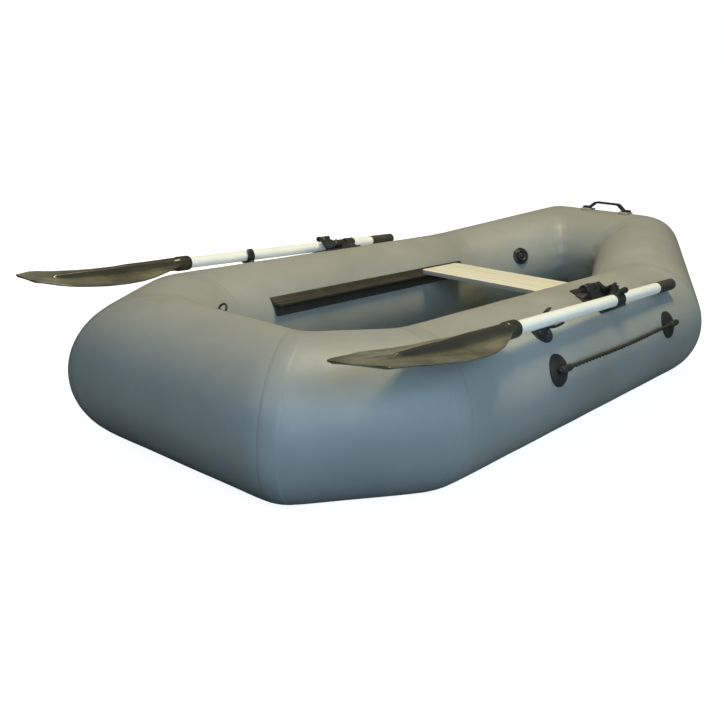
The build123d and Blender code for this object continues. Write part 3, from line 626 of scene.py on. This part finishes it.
def turned(name, origin, axis, profile, columns=48, ridges=0, ridge_depth=0.0, ridge_span=(0, 1)):
    """A profile of (distance along the axis, radius) carried round the axis. Ridges add a wave of the
    radius round the axis for the rows in ridge_span."""
    axis = unit(np.asarray(axis, float))
    helper = np.array([0.0, 0.0, 1.0]) if abs(axis[2]) < 0.9 else np.array([1.0, 0.0, 0.0])
    first = unit(np.cross(helper, axis))
    second = np.cross(axis, first)
    profile = np.asarray(profile, float)
    angle = np.linspace(0, 2 * np.pi, columns, endpoint=False)
    rows = len(profile)
    on = (np.arange(rows) >= ridge_span[0] * rows) & (np.arange(rows) <= ridge_span[1] * rows)
    radius = profile[:, 1:2] + ridge_depth * on[:, None] * np.cos(ridges * angle)[None]
    points = (np.asarray(origin, float) + axis * profile[:, 0][:, None, None]
              + first * (radius * np.cos(angle))[..., None] + second * (radius * np.sin(angle))[..., None])
    uv = (run_length(profile), np.append(angle, 2 * np.pi) * 0.02)
    return grid_mesh(name, points, uv, wrap_columns=True, caps=True, flip=True)


collar_profile = [(-0.020, 0.0150), (-0.012, 0.0172), (-0.002, 0.0178), (0.0, 0.0188), (0.0015, 0.0194),
                  (0.004, 0.0196), (0.036, 0.0196), (0.0385, 0.0193), (0.0398, 0.0186), (0.040, 0.0172),
                  (0.0392, 0.0150)]
for side in sides:
    start, along = oars[side][:2]
    mesh = turned(side + "_collar", start, along, collar_profile)
    show(side + "_collar", mesh, collar_plastic, side + "_oar", "blade_plastic", side + "_oar_blade")
print("collars", len(collar_profile), "rows each")

# %% [markdown]
# ## Moulded plastic, rubber, paint and plywood
#
# The CAD nodes that are already right keep their shape and get a finish. Modifiers weld their loose
# triangles together and round the sharp edges with a small bevel, as any moulding has. A small node group
# then shades the faces smooth and leaves an edge sharp where the surface turns by more than 50 degrees.


# %% Finishes for the rigid parts
def moulded(name, color, roughness, grain=900.0, depth=0.0003, worn=(0.12, 0.12, 0.11)):
    """Moulded plastic or rubber: fine grain, uneven gloss, and dust in clouds."""
    skin = Finish(name, color, roughness)
    body = skin.place()
    clouds = skin.noise(body, 24.0, 5, 0.6)
    tone = skin.tint(color, clouds, 0.5, 0.75, worn, 0.35)
    skin.coat(tone, clouds, roughness - 0.08, roughness + 0.1)
    skin.bump(skin.noise(body, grain, 2), depth, 0.5)
    return skin.material


lock_plastic = moulded("lock_plastic", (0.026, 0.027, 0.025), 0.42)
patch_rubber = moulded("patch_rubber", (0.026, 0.025, 0.021), 0.55)
rail_rubber = moulded("rail_rubber", (0.036, 0.034, 0.024), 0.46, 500.0, 0.0003, (0.10, 0.09, 0.065))
valve_plastic = moulded("valve_plastic", (0.022, 0.023, 0.022), 0.35)
handle_webbing = moulded("handle_webbing", (0.022, 0.022, 0.021), 0.5)
clip_rubber = moulded("clip_rubber", (0.018, 0.026, 0.024), 0.38)
grip_rubber = moulded("grip_rubber", (0.048, 0.047, 0.036), 0.6, 700.0)


def powder_coat(name, white=(0.94, 0.96, 0.90), dusty=(0.88, 0.90, 0.83)):
    """White powder coat with a faint painted glow that lightens its shaded underside: a fine orange peel,
    slightly yellow dust and light rub marks along the oar.
    """
    # painted light: the emission makes the shaft glow faintly, so its shaded underside stays nearly as white as its
    # top
    skin = Finish(name, white, 0.30, Coat_Weight=0.4, Coat_Roughness=0.12,
                  Emission_Color=(0.95, 1.0, 0.92, 1), Emission_Strength=0.14)
    body = skin.place()
    clouds = skin.noise(body, 11.0)
    streaks = skin.noise(skin.place(scale=(3, 60, 60)), 2.0, 6, 0.65)
    tone = skin.tint(white, clouds, 0.35, 0.7, dusty)
    tone = skin.tint(tone, streaks, 0.62, 0.74, (0.45, 0.46, 0.42), 0.3)
    skin.coat(tone, streaks, 0.26, 0.42)
    skin.bump(skin.noise(body, 420.0, 2), 0.0002, 0.3)
    return skin.material


def plywood(name, layer=0.0034):
    """Pale varnished plywood: long grain across the boat, soft bands, and thin glued layers at the edge,
    which is where the surface faces sideways."""
    skin = Finish(name, (0.72, 0.68, 0.54), 0.5, Coat_Weight=0.12, Coat_Roughness=0.35)
    bands = skin.noise(skin.place(scale=(38, 2.2, 90)), 1.0, 8, 0.6)
    waves = {"Vector": skin.place(scale=(1, 0.12, 1)), "Scale": 9.0, "Distortion": 7.0, "Detail": 3.0,
             "Detail Scale": 1.4}
    rings = skin.add("TexWave", waves, bands_direction="X").outputs["Fac"]
    face = skin.tint((0.92, 0.93, 0.84), bands, 0.3, 0.7, (0.85, 0.84, 0.72))
    face = skin.tint(face, rings, 0.2, 1.0, (0.60, 0.54, 0.40), 0.35)
    height = skin.add("SeparateXYZ", {"Vector": skin.place()}).outputs["Z"]
    layers = skin.math("SINE", skin.math("MULTIPLY", height, 2 * math.pi / layer))
    glued = skin.tint((0.30, 0.27, 0.25), layers, -0.4, 0.4, (0.56, 0.52, 0.46))
    normal = skin.add("NewGeometry").outputs["Normal"]
    facing = skin.add("SeparateXYZ", {"Vector": normal}).outputs["Z"]
    sideways = skin.math("SUBTRACT", 1.0, skin.math("ABSOLUTE", facing))
    skin.coat(skin.tint(face, sideways, 0.6, 0.9, glued), bands, 0.44, 0.56)
    skin.bump(bands, 0.0004, 0.35)
    return skin.material


shaft_paint = powder_coat("shaft_paint")
seat_plywood = plywood("plywood")


# %% Dress the CAD nodes
def soft_shading(angle):
    """A node group that shades faces smooth and keeps an edge sharp where its faces turn by more than angle."""
    group = bpy.data.node_groups.new("soft_shading", "GeometryNodeTree")
    for way in ("INPUT", "OUTPUT"):
        group.interface.new_socket("Geometry", in_out=way, socket_type="NodeSocketGeometry")
    kinds = ("NodeGroupInput", "GeometryNodeSetShadeSmooth", "GeometryNodeSetShadeSmooth", "NodeGroupOutput",
             "GeometryNodeInputMeshEdgeAngle", "FunctionNodeCompare")
    way_in, faces, edges, way_out, turn, sharp = (group.nodes.new(kind) for kind in kinds)
    faces.domain, edges.domain = "FACE", "EDGE"
    edges.inputs["Shade Smooth"].default_value = False
    sharp.inputs["B"].default_value = angle
    joins = (
        (turn.outputs["Unsigned Angle"], sharp.inputs["A"]), (sharp.outputs["Result"], edges.inputs["Selection"]),
        (way_in.outputs[0], faces.inputs["Geometry"]), (faces.outputs[0], edges.inputs["Geometry"]),
        (edges.outputs[0], way_out.inputs[0]),
    )
    for output, socket in joins:
        group.links.new(output, socket)
    return group


edge_shading = soft_shading(math.radians(50))


def dress(name, material, bevel=0.0008):
    """Gives a CAD node its material, welds its loose triangles, rounds its edges and shades them soft."""
    node = nodes[name]
    for slot in node.material_slots:
        slot.material = material
    weld = node.modifiers.new("weld", "WELD")
    weld.merge_threshold = 0.00002
    if bevel:
        edges = node.modifiers.new("bevel", "BEVEL")
        edges.width = bevel
        edges.segments = 3
        edges.limit_method = "ANGLE"
        edges.angle_limit = math.radians(30)
    node.modifiers.new("shading", "NODES").node_group = edge_shading


pad_fabric = moulded("pad_fabric", (0.36, 0.36, 0.31), 0.5, 900.0, 0.0003, (0.30, 0.30, 0.26))
finishes = {
    "oarlock": (lock_plastic, 0.0022), "knob": (lock_plastic, 0.0006), "clip": (clip_rubber, 0.001),
    "line_patches": (patch_rubber, 0.0008), "seat_rail": (rail_rubber, 0.001), "seat_board": (seat_plywood, 0.002),
    "shaft": (shaft_paint, 0.0), "grip": (grip_rubber, 0.0006), "handle_pads": (pad_fabric, 0.002),
    "bow_handle": (handle_webbing, 0.0), "stern_eye": (patch_rubber, 0.0008), "valve": (valve_plastic, 0.001),
}
for word, finish in finishes.items():
    for name in [n for n in nodes if word in n]:
        dress(name, *finish)
print("dressed", sum(word in n for n in nodes for word in finishes), "nodes")

# %% [markdown]
# ## Lifelines
#
# Each side has a short rope stretched between two patches. Its middle line is a NURBS curve that Blender
# draws along a short route, with a slight dip between the ends. Two cords are twisted together: each
# one's centre is a helix round that line, and a small circle carried along it gives the cord. The circle
# swells and shrinks a little, as plaited cord does. A rubber sleeve holds each end on its patch.


# %% Laid rope
def rope_line(name, route, rows):
    """The rope's middle: Blender's own smooth NURBS curve along the route, read back at even steps."""
    curve = bpy.data.curves.new(name, "CURVE")
    curve.dimensions = "3D"
    spline = curve.splines.new("NURBS")
    spline.points.add(len(route) - 1)
    spline.points.foreach_set("co", np.column_stack([route, np.ones(len(route))]).ravel())
    spline.order_u = 3
    spline.use_endpoint_u = True
    spline.resolution_u = 24
    drawn = bpy.data.objects.new(name, curve)
    mesh = bpy.data.meshes.new_from_object(drawn)
    line = mesh_points(mesh)
    bpy.data.meshes.remove(mesh)
    bpy.data.curves.remove(curve)
    run = run_length(line)
    even = np.linspace(0, run[-1], rows)
    return np.stack([np.interp(even, run, line[:, k]) for k in range(3)], 1), run[-1]


def rope_mesh(name, middle, length, radius, pitch=0.034, swell=0.0085):
    """Two cords, each a circle carried along a helix about the rope's middle line. The circle's radius
    swells by a sine along the cord."""
    t = np.linspace(0, 1, len(middle))
    angle = np.linspace(0, 2 * np.pi, 10, endpoint=False)
    axis = unit(middle[-1] - middle[0])
    first, second = across_and_up(axis)
    apart = 0.48 * radius
    slope = math.atan2(2 * np.pi * apart, pitch)
    meshes = []
    for k in range(2):
        turn = 2 * np.pi * (t * length / pitch + k / 2)
        out = first * np.cos(turn)[:, None] + second * np.sin(turn)[:, None]
        side = -first * np.sin(turn)[:, None] + second * np.cos(turn)[:, None]
        normal = -axis * math.sin(slope) + side * math.cos(slope)
        thick = radius * 0.66 * (1 + 0.16 * np.sin(2 * np.pi * t * length / swell + 2 * k))[:, None, None]
        points = ((middle + out * apart)[:, None] + out[:, None] * thick * np.cos(angle)[None, :, None]
                  + normal[:, None] * thick * np.sin(angle)[None, :, None])
        uv = (t * length, np.append(angle, 2 * np.pi) * radius)
        meshes.append(grid_mesh(f"{name}_{k}", points, uv, wrap_columns=True, caps=True))
    return meshes


def join_meshes(name, meshes):
    """Several meshes as one, with their UV maps."""
    parts = [add_object(mesh.name, mesh) for mesh in meshes]
    with bpy.context.temp_override(active_object=parts[0], selected_editable_objects=parts):
        bpy.ops.object.join()
    joined = parts[0].data
    joined.name = name
    bpy.data.objects.remove(parts[0])
    return joined


rope_fibre = moulded("rope_fibre", (0.030, 0.027, 0.021), 0.7, 1400.0, 0.0004)
rope_dip = 0.006
rope_radius = 0.0044
sleeve_inset = 0.037
sleeve_profile = [(-0.012, 0.0045), (-0.012, 0.0074), (-0.0105, 0.0082), (0.024, 0.0082), (0.030, 0.0074),
                  (0.033, 0.0060), (0.033, 0.0045)]
for side in sides:
    low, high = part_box(side + "_lifeline")
    y, z = (low.y + high.y) / 2, (low.z + high.z) / 2
    route = np.array([(low.x, y, z), (low.x + 0.08, y, z), ((low.x + high.x) / 2, y, z - rope_dip),
                      (high.x - 0.08, y, z), (high.x, y, z)])
    middle, length = rope_line(side + "_rope_line", route, 420)
    strands = rope_mesh(side + "_rope", middle, length, rope_radius)
    rope = show(side + "_rope", join_meshes(side + "_rope", strands), rope_fibre, "hull", "rope", side + "_lifeline")
    patch_low, patch_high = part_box(side + "_line_patches")
    for end, middle_x in (("aft", patch_low.x + sleeve_inset), ("fore", patch_high.x - sleeve_inset)):
        mesh = turned(f"{side}_{end}_sleeve", (middle_x, y, z), (1, 0, 0), sleeve_profile, 24)
        show(f"{side}_{end}_sleeve", mesh, patch_rubber, "hull", "patch_rubber")
print("ropes", round(length, 3), "m")

# %% [markdown]
# ## Fittings that are swept or domed
#
# The oar rest is a springy rubber band: it curls under the shaft from an outer horn to an inner horn about
# as tall. The rope eye on the stern is a round wire bent into a loop. Both are one cross section carried
# along a path. Each stands on a patch of rubber that hugs its tube and swells in the middle to a foot.


# %% Swept and domed shapes
def swept(name, path, half_width, half_thickness, side_way, power):
    """A rounded rectangle (a superellipse of this power) carried along a path. side_way is the direction
    of its width; its thickness lies square to the width and to the path."""
    run = run_length(path)
    side_way = np.broadcast_to(np.asarray(side_way, float), path.shape)
    across = unit(np.cross(side_way, unit(np.gradient(path, run, axis=0))))
    angle = np.linspace(0, 2 * np.pi, 28, endpoint=False)
    wide = np.sign(np.cos(angle)) * np.abs(np.cos(angle)) ** (2 / power)
    high = np.sign(np.sin(angle)) * np.abs(np.sin(angle)) ** (2 / power)
    points = (path[:, None] + side_way[:, None] * (np.asarray(half_width)[:, None] * wide)[..., None]
              + across[:, None] * (np.asarray(half_thickness)[:, None] * high)[..., None])
    uv = (run, np.append(angle, 2 * np.pi) * 0.01)
    return grid_mesh(name, points, uv, wrap_columns=True, caps=True, flip=True)


def smooth_path(bends, rows, window=5, passes=3):
    """Straight lines between the bends at even steps, then rounded by passes that average each point with
    its neighbours over a window."""
    bends = np.asarray(bends, float)
    run = run_length(bends)
    t = np.linspace(0, run[-1], rows)
    line = np.stack([np.interp(t, run, bends[:, k]) for k in (0, 1)], 1)
    for _ in range(passes):
        padded = np.concatenate([2 * line[:1] - line[2:0:-1], line, 2 * line[-1:] - line[-2:-4:-1]])
        line = np.stack([np.convolve(padded[:, k], np.ones(window) / window, "valid") for k in (0, 1)], 1)
    return line


def domed_patch(name, middle, axis_way, normal, radius, half_along, half_round, foot, skin=0.003):
    """A patch on a tube: rings from the middle to the rim. Its height over the tube is the skin's
    thickness, swelling to the foot's height in the middle by a smooth step, and it dives under the
    tube's surface at the rim. middle is a point on the tube's axis."""
    middle, axis_way, normal = (np.asarray(v, float) for v in (middle, axis_way, normal))
    side = np.cross(axis_way, normal)
    share = np.array([0.02, 0.12, 0.2, 0.26, 0.32, 0.38, 0.44, 0.5, 0.62, 0.75, 0.88, 0.95, 0.98, 1.0, 1.0])
    step = np.clip((0.50 - share) / 0.24, 0, 1)
    height = skin + (foot - skin) * step ** 2 * (3 - 2 * step)
    height[-3:] = (skin * 0.9, skin * 0.5, -0.002)
    angle = np.linspace(0, 2 * np.pi, 56, endpoint=False)
    along = share[:, None] * half_along * np.cos(angle)[None]
    turn = share[:, None] * half_round * np.sin(angle)[None] / radius
    out = normal * np.cos(turn)[..., None] + side * np.sin(turn)[..., None]
    points = middle + axis_way * along[..., None] + out * (radius + height)[:, None, None]
    uv = (share * half_along, np.append(angle, 2 * np.pi) * half_round / 2)
    return grid_mesh(name, points, uv, wrap_columns=True, caps=True)


# %% Oar rests
rest_shift = {"starboard": 0.006, "port": 0.020}
rest_rows = 64
foot_sink = 0.0185
bend = [(-0.0240, 0.010), (-0.0225, 0.004), (-0.0205, -0.003), (-0.0172, -0.010), (-0.0115, -0.0160),
        (-0.004, -0.0190), (0.006, -0.0188), (0.0145, -0.0130), (0.0190, -0.004), (0.0198, 0.003), (0.0198, 0.0095)]
line = smooth_path(bend, rest_rows)
leaf = np.sin(np.pi * np.linspace(0.03, 0.97, rest_rows)) ** 0.55
for side, sign in zip(sides, (-1, 1)):
    low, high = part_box(side + "_oar_clip")
    clip_x = (low.x + high.x) / 2 + rest_shift[side]
    start, along = oars[side][:2]
    shaft_point = start + along * ((clip_x - start[0]) / along[0])
    tube_point = np.array([clip_x, sign * half_width, tube_radius])
    normal = shaft_point - tube_point
    gap = np.linalg.norm(normal) - tube_radius
    normal = unit(normal)
    inward = np.array([0, -sign * normal[2], sign * normal[1]])
    path = shaft_point + inward * line[:, :1] + normal * line[:, 1:]
    mesh = swept(side + "_rest_band", path, 0.0085 + 0.0055 * leaf, 0.0026 + 0.0008 * leaf, (1, 0, 0), 2.4)
    foot = domed_patch(side + "_rest_foot", tube_point, (1, 0, 0), normal, tube_radius, 0.036, 0.033, gap - foot_sink)
    show(side + "_oar_rest", join_meshes(side + "_oar_rest", [foot, mesh]), clip_rubber, "hull", "patch_rubber",
         side + "_oar_clip")
print("oar rests", round(gap, 4), "m from shaft to tube")

# %% Stern eye
mount = [m for m in frame["record"]["mounts"] if m["name"] == "stern_eye_bore"][0]
eye_point = np.array(mount["pos_m"])
stern_point = np.array([corner_x[0], eye_point[1], tube_radius])
normal = eye_point - stern_point
eye_gap = np.linalg.norm(normal) - tube_radius
normal = unit(normal)
eye_drop = 0.0105
eye_radius = 0.0112
wire_radius = 0.0024
leg = np.linspace(-eye_gap + eye_drop - 0.001, 0, 12)
turn = np.linspace(0, np.pi, 50)[1:-1]
loop = np.concatenate([np.stack([np.full_like(leg, eye_radius), leg], 1),
                       eye_radius * np.stack([np.cos(turn), np.sin(turn)], 1),
                       np.stack([np.full_like(leg, -eye_radius), leg[::-1]], 1)])
path = eye_point - normal * eye_drop + np.array([0.0, 1.0, 0.0]) * loop[:, :1] + normal * loop[:, 1:]
wire = np.full(len(path), wire_radius)
mesh = swept("stern_eye_loop", path, wire, wire, np.cross([0, 1, 0], normal), 2)
foot = domed_patch("stern_eye_patch", stern_point, (0, 1, 0), normal, tube_radius, 0.017, 0.014, 0.0035, 0.0016)
show("stern_eye_fitting", join_meshes("stern_eye_fitting", [foot, mesh]), patch_rubber, "hull", "patch_rubber",
     "stern_eye")
print("stern eye", round(eye_gap, 4), "m above the tube")

# %% [markdown]
# ## Valves, bolts and barrel ends
#
# A boat valve is turned: a flange welded to the fabric, a threaded neck and a round cap with raised rings,
# knurled by a wave of its radius. Each sits on the inner side of its bow quarter tube, the port one turned
# further up. The oarlock's swing bolt has a small zinc head, and each barrel ends in a rounded hub. All are
# profiles carried round an axis.

# %% Valves
valve_profile = [(-0.004, 0.0280), (0.0010, 0.0285), (0.0018, 0.0280), (0.0020, 0.0255), (0.0016, 0.0250),
                 (0.0012, 0.0250), (0.0022, 0.0244), (0.0026, 0.0225), (0.0026, 0.0195), (0.0034, 0.0188),
                 (0.0040, 0.0176), (0.0048, 0.0176), (0.0060, 0.0176), (0.0080, 0.0176), (0.0096, 0.0173),
                 (0.0104, 0.0164), (0.0104, 0.0148), (0.0084, 0.0142), (0.0082, 0.0090), (0.0090, 0.0080),
                 (0.0112, 0.0072), (0.0116, 0.0050), (0.0116, 0.0010)]
valve_share = 0.48
valve_lean = {"port": math.radians(28.5), "starboard": math.radians(-6)}
bow_way = corners[3] - corners[2]
way = unit(bow_way)
inner = np.array([0.0, -1.0, 0.0])
inner = unit(inner - way * inner.dot(way))
lift = -np.cross(way, inner)
lifted = tube_radius + (bow_radius - tube_radius) * valve_share + 0.0005
for side, sign in (("port", 1), ("starboard", -1)):
    aim = inner * math.cos(valve_lean[side]) + lift * math.sin(valve_lean[side])
    seat = corners[2] + bow_way * valve_share + aim * lifted
    mirror = np.array([1, sign, 1])
    mesh = turned(side + "_valve_cap", seat * mirror, aim * mirror, valve_profile, 96, 24, 0.0005, (0.36, 0.56))
    show(side + "_valve_cap", mesh, valve_plastic, "hull", "valve_plastic", side + "_valve")

# %% Bolt heads
zinc = Finish("zinc", (0.62, 0.62, 0.60), 0.32, Metallic=1.0).material
joints = {joint["name"]: joint for joint in frame["record"]["behaviour"]["joints"]}
bolt_seat = 0.0074
bolt_profile = [(0.0, 0.0042), (0.0012, 0.0044), (0.0024, 0.0040), (0.0030, 0.0030), (0.0030, 0.0020),
                (0.0016, 0.0018)]
for side in sides:
    swing = joints[side + "_swing"]
    aim = np.array(swing["axis"]) * np.sign(swing["axis"][2])
    mesh = turned(side + "_oar_bolt", np.array(swing["pos_m"]) + aim * bolt_seat, aim, bolt_profile, 24)
    show(side + "_oar_bolt", mesh, zinc, side + "_oar", "lock_plastic")

# %% Barrel ends
barrel_length = 0.056
hub_profile = [(-0.030, 0.0124), (-0.030, 0.0132), (-0.028, 0.0140), (-0.012, 0.0140), (-0.010, 0.0132),
               (-0.008, 0.0126), (-0.003, 0.0126), (-0.001, 0.0134), (0.004, 0.0140), (0.0065, 0.0134),
               (0.0075, 0.0118), (0.0065, 0.0098), (0.0030, 0.0088), (0.0012, 0.0060), (0.0012, 0.0010)]
for side in sides:
    dip = joints[side + "_dip"]
    aim = np.array(dip["axis"])
    mesh = turned(side + "_barrel_end", np.array(dip["pos_m"]) + aim * barrel_length, aim, hub_profile)
    show(side + "_barrel_end", mesh, lock_plastic, "hull", "lock_plastic")
print("bolts and barrel ends added")

# %% [markdown]
# ## Floor, backdrop and light
#
# The floor and the world are white only for the camera, so they give the boat a clean background but don't
# throw their own light up under the tubes. Both mix two looks by the kind of ray. A warm lamp hangs
# overhead and a broad cool one stands off the starboard quarter. Three weaker ones lighten the stern, the
# port bow and the low starboard side, and the world adds a little even light.


# %% Floor
def by_ray(graph, hidden, seen, output):
    """Links one look for the rays that the camera sees by, straight or through a clear surface, and another
    for all the rest."""
    rays = graph.add("LightPath").outputs
    camera_ray = graph.math("MAXIMUM", rays["Is Camera Ray"], rays["Is Transmission Ray"])
    choose = graph.add("MixShader", {0: camera_ray, 1: hidden.outputs[0], 2: seen.outputs[0]})
    graph.tree.links.new(choose.outputs[0], output.inputs["Surface"])


def white_floor():
    """White to the camera with the object's shadow kept, and fading to the background's white far away;
    dark to every other ray."""
    material = bpy.data.materials.new("floor")
    graph = Graph(material)
    graph.tree.nodes.clear()
    away = graph.add("VectorMath", {0: graph.place()}, operation="LENGTH").outputs["Value"]
    fade = graph.remap(away, 1.2, 2.4, 0.91, 1)
    glow = graph.add("Emission", {"Color": (1, 1, 1, 1), "Strength": fade})
    shade = graph.add("BsdfDiffuse", {"Color": (0.5, 0.5, 0.5, 1)})
    both = graph.add("AddShader", {0: shade.outputs[0], 1: glow.outputs[0]})
    plain = graph.add("BsdfDiffuse", {"Color": (0.11, 0.11, 0.11, 1)})
    by_ray(graph, plain, both, graph.add("OutputMaterial"))
    return material


reach = 9
floor_points = np.array([[(-reach, -reach, 0), (-reach, reach, 0)], [(reach, -reach, 0), (reach, reach, 0)]], float)
floor_span = np.array([0, 2.0 * reach])
floor_mesh = grid_mesh("floor", floor_points, (floor_span, floor_span), flip=True)
floor_mesh.materials.append(white_floor())
floor = add_object("floor", floor_mesh)

# %% World
world = bpy.data.worlds.new("world")
bpy.context.scene.world = world
world_graph = Graph(world)
background = world_graph.tree.nodes["Background"]
background.inputs["Color"].default_value = (0.80, 0.92, 1.0, 1)
background.inputs["Strength"].default_value = 0.10
paper = world_graph.add("Background", {"Color": (1, 1, 1, 1), "Strength": 1.0})
by_ray(world_graph, background, paper, world_graph.tree.nodes["World Output"])


# %% Lamps
def lamp(name, place_at, aim, size, power, color):
    """A square area lamp that looks at a point."""
    data = bpy.data.lights.new(name, "AREA")
    data.size = size
    data.energy = power
    data.color = color
    light = add_object(name, data)
    light.location = place_at
    light.rotation_euler = (Vector(aim) - Vector(place_at)).to_track_quat("-Z", "Y").to_euler()
    return light


lamp("overhead", (0.1, -0.40, 3.3), (0, 0, 0), 0.8, 72, (1.0, 0.815, 0.455))
lamp("quarter_fill", (-2.4, -3.1, 1.4), (-0.4, -0.3, 0.2), 2.2, 78, (0.46, 0.73, 1.0))
lamp("stern_fill", (-4.0, 0.6, 2.6), (-0.3, 0, 0.2), 1.4, 17, (0.90, 0.96, 1.0))
bow_fill = lamp("bow_fill", (2.6, 3.4, 1.9), (0.2, 0.3, 0.2), 2.6, 46, (0.72, 0.86, 1.0))
bow_fill.visible_glossy = False
lamp("low_fill", (0.2, -3.8, 0.4), (0, -0.4, 0.1), 2.0, 12, (1.0, 0.90, 0.76))
bpy.context.scene.view_settings.view_transform = "Standard"
